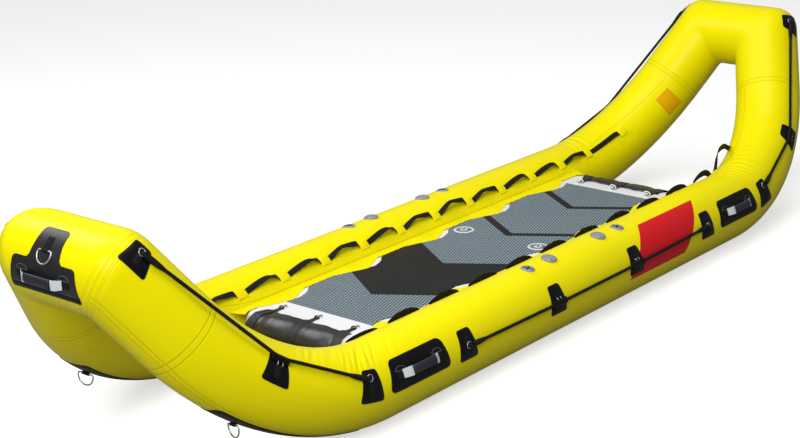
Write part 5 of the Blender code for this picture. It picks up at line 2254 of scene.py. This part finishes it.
    def deck_ring(self, place: float, end: End) -> list[Piece]:
        """Make the upright ring where a strap starts on the deck, with its tab and the bow's button.

        Args:
            place: The strap's distance from the middle, in metres.
            end: The end of the boat.

        Returns:
            The painted parts.
        """
        top = self.floor.top
        tab = box_plate("tab", (1.022, 1.050), (place - 0.013, place + 0.013), 0.0016, 0.004)
        shift(tab, z=top + 0.0003)
        high, width, wire, finish = 0.0110, 0.0160, 0.0028, WHITE_SKIN
        if end is End.BOW:
            high, width, wire, finish = 0.0040, 0.0105, 0.0026, BLACK_PATCH
        ring = wire_loop("ring", 20, wire, 10, lambda c, s: Vector((
            1.052 - 0.004 * s, place + width * c, top + high + 0.002 + high * s)))
        pieces = [paint(tab, WHITE_SKIN), paint(ring, finish)]
        if end is End.BOW:
            button = drum("button", 20, 0.0070, 0.0080, (1.029, place, top + 0.0046))
            with editing(button):
                pick(button, Part.EDGE, lambda edge: min(v.co.z for v in edge.verts) > top + 0.005)
                bpy.ops.mesh.bevel(offset=0.002, segments=3, affect="EDGES")
            pieces.append(paint(button, GREY_PLASTIC))
        return pieces


def close_under(piece: Piece, nose: Callable[[float], tuple], full: float,
                columns: int) -> None:
    """Close a cover's padded top with an underside on the floor's skin.

    Args:
        piece: The padded top.
        nose: What gives a travel its point and outward direction.
        full: The cover's length, in metres.
        columns: The points across it.
    """
    with editing(piece):
        bpy.ops.mesh.extrude_region_move()
        mesh = bmesh.from_edit_mesh(piece.data)
        for vertex in mesh.verts:
            if vertex.select:
                best = min(spread(0.0, full, columns * 2),
                           key=lambda travel: (nose(travel)[0].xz - vertex.co.xz).length)
                point, out = nose(best)
                vertex.co.x = point.x + out.x * 0.0006
                vertex.co.z = point.z + out.z * 0.0006
        bmesh.update_edit_mesh(piece.data)


@dataclass
class Markings:
    """The red side panels and the blank orange label.

    Attributes:
        panel_top: The runs of a panel's upper corners, bow side first.
        panel_bottom: The runs of its lower corners, bow side first.
        panel_angles: Its upper and lower angles.
        label_runs: The label's runs.
        label_angles: Its angles.
    """

    panel_top: Pair = (-0.443, -0.889)
    panel_bottom: Pair = (-0.238, -0.689)
    panel_angles: Pair = (22.0, 101.0)
    label_runs: Pair = (-2.090, -1.985)
    label_angles: Pair = (-85.0, -42.0)

    def build(self) -> None:
        """Build a panel on each side, and the label inside the starboard rise at the stern."""
        low, high = (FORM.arc(angle) for angle in self.panel_angles)
        corners = [(self.panel_top[1], low), (self.panel_top[0], low),
                   (self.panel_bottom[1], high), (self.panel_bottom[0], high)]
        for side in Side:
            panel = plate(f"red_panel_{side}", corners, 0.0003, 0.0, 0.0)
            slice_across(panel, 1, 0.009)
            lay(shift(panel, z=0.00005), FORM.on_side(side))
            dress(paint(panel, RED_PANEL), "tube_yellow")
        low, high = (FORM.arc(angle) for angle in self.label_angles)
        pieces = [self.sticker(box_plate("label", self.label_runs, (low, high), 0.0004, 0.003, 0.0), 0.0001)]
        paint(pieces[0], ORANGE_LABEL)
        low, high = low + 0.006, high - 0.006
        runs = (self.label_runs[0] + 0.006, self.label_runs[1] - 0.006)
        for x, y in ((runs, (low, low + 0.0016)), (runs, (high - 0.0016, high)),
                     ((runs[1] - 0.0016, runs[1]), (low, high)), ((runs[0], runs[0] + 0.0016), (low, high))):
            line = self.sticker(box_plate("line", x, y, 0.0003, 0.0, 0.0), 0.0004)
            pieces.append(paint(line, ORANGE_EDGE))
        dress(join("orange_label", pieces), "tube_yellow")

    def sticker(self, piece: Piece, lift: float) -> Piece:
        """Lay a flat plate inside the starboard tube at a height over its skin.

        Args:
            piece: The plate.
            lift: The height, in metres.

        Returns:
            The piece.
        """
        slice_across(piece, 0, 0.02)
        slice_across(piece, 1, 0.010)
        return lay(shift(piece, z=lift), FORM.on_side(Side.STARBOARD))


@dataclass(frozen=True)
class Lamp:
    """A round soft light: its name, its place, its diameter and its power."""

    name: str
    place: tuple[float, float, float]
    size: float
    power: float


@dataclass
class Studio:
    """The pale floor, the soft light and the camera.

    Attributes:
        azimuth: The camera's direction from +Y towards +X, in degrees like its dip and roll.
        lens: Its lens in millimetres.
        floor_glow: How much the floor is lit up for the eye, so that its far part stays pale.
        floor_bounce: How much light it throws back.
        fill: The strength of the even light.
        key: The light from the camera's side.
        side: The light from the far side, which gives the black pieces their sheen.
    """

    camera_place: tuple[float, float, float] = (5.7191, 4.3232, 2.6579)
    azimuth: float = 230.16
    dip: float = 17.801
    roll: float = 1.419
    lens: float = 78.84
    floor_shade: float = 0.62
    floor_glow: float = 0.62
    floor_bounce: float = 0.24
    fill: float = 0.24
    white: Colour = (1.0, 1.0, 1.0, 1.0)
    overhead: Lamp = Lamp("overhead", (0.3, 0.2, 5.6), 4.6, 162.0)
    side: Lamp = Lamp("side", (1.8, -3.3, 4.4), 2.6, 75.0)
    key: Lamp = Lamp("key", (6.4, 2.6, 4.6), 5.0, 400.0)

    def build(self) -> None:
        """Set up the studio."""
        self.floor()
        self.lights()
        self.camera()

    def floor(self) -> None:
        """Lay the pale floor, which throws back less light than it shows."""
        bpy.ops.object.select_all(action="DESELECT")
        bpy.ops.mesh.primitive_plane_add(size=160.0, calc_uvs=False)
        piece = take("studio_floor")
        material = bpy.data.materials.new("studio_paper")
        nodes = self.emptied(material)
        dark, pale = (nodes.add("ShaderNodeBsdfDiffuse", {"Color": (shade, shade, shade, 1.0)}).outputs[0]
                      for shade in (self.floor_bounce, self.floor_shade))
        glow = nodes.add("ShaderNodeEmission", {"Color": self.white, "Strength": self.floor_glow}).outputs[0]
        both = nodes.add("ShaderNodeAddShader", {0: pale, 1: glow}).outputs[0]
        nodes.add("ShaderNodeOutputMaterial", {"Surface": nodes.for_eye(dark, both)})
        piece.data.materials.append(material)

    def emptied(self, owner: bpy.types.Material | bpy.types.World) -> Nodes:
        """Return a builder for the emptied nodes of a material or a world.

        Args:
            owner: The material or world.

        Returns:
            The builder.
        """
        owner.use_nodes = True
        owner.node_tree.nodes.clear()
        return Nodes(owner.node_tree)

    def lights(self) -> None:
        """Hang three large soft lights and fill the room with an even white one."""
        world = bpy.data.worlds.new("studio")
        nodes = self.emptied(world)
        fill, wall = (nodes.add("ShaderNodeBackground", {"Color": self.white, "Strength": strength}).outputs[0]
                      for strength in (self.fill, 1.0))
        nodes.add("ShaderNodeOutputWorld", {"Surface": nodes.for_eye(fill, wall)})
        bpy.context.scene.world = world
        for lamp in (self.overhead, self.key, self.side):
            data = bpy.data.lights.new(lamp.name, "AREA")
            data.shape = "DISK"
            data.size = lamp.size
            data.energy = lamp.power
            light = bpy.data.objects.new(lamp.name, data)
            light.location = lamp.place
            light.rotation_mode = "QUATERNION"
            light.rotation_quaternion = (-Vector(lamp.place)).to_track_quat("-Z", "Y")
            bpy.context.collection.objects.link(light)

    def camera(self) -> None:
        """Place the camera where the photograph was taken from."""
        azimuth, dip, roll = (radians(value) for value in (self.azimuth, self.dip, self.roll))
        ahead = Vector((sin(azimuth) * cos(dip), cos(azimuth) * cos(dip), -sin(dip)))
        across = ahead.cross(Vector((0.0, 0.0, 1.0))).normalized()
        down = -across.cross(ahead)
        right = across * cos(roll) + down * sin(roll)
        lower = down * cos(roll) - across * sin(roll)
        data = bpy.data.cameras.new("camera")
        data.lens = self.lens
        data.sensor_width = 36.0
        camera = bpy.data.objects.new("camera", data)
        turn = Matrix((right, -lower, -ahead)).transposed().to_4x4()
        camera.matrix_world = Matrix.Translation(self.camera_place) @ turn
        bpy.context.collection.objects.link(camera)
        bpy.context.scene.camera = camera


def main() -> None:
    """Build the whole boat and its studio."""
    logging.basicConfig(level=logging.INFO, format="%(name)s: %(message)s")
    bpy.context.scene.view_settings.view_transform = "Standard"
    Studio().build()
    for assembly in (AirTubes(), Markings(), GrabLines(), CarryHandles(), GrabWebbing(), WearPatches(),
                     DeeRings(), TubeValves(), DeckFloor(), EndCovers()):
        assembly.build()
        log.info("%s is done", type(assembly).__name__)


if __name__ == "__main__":
    main()
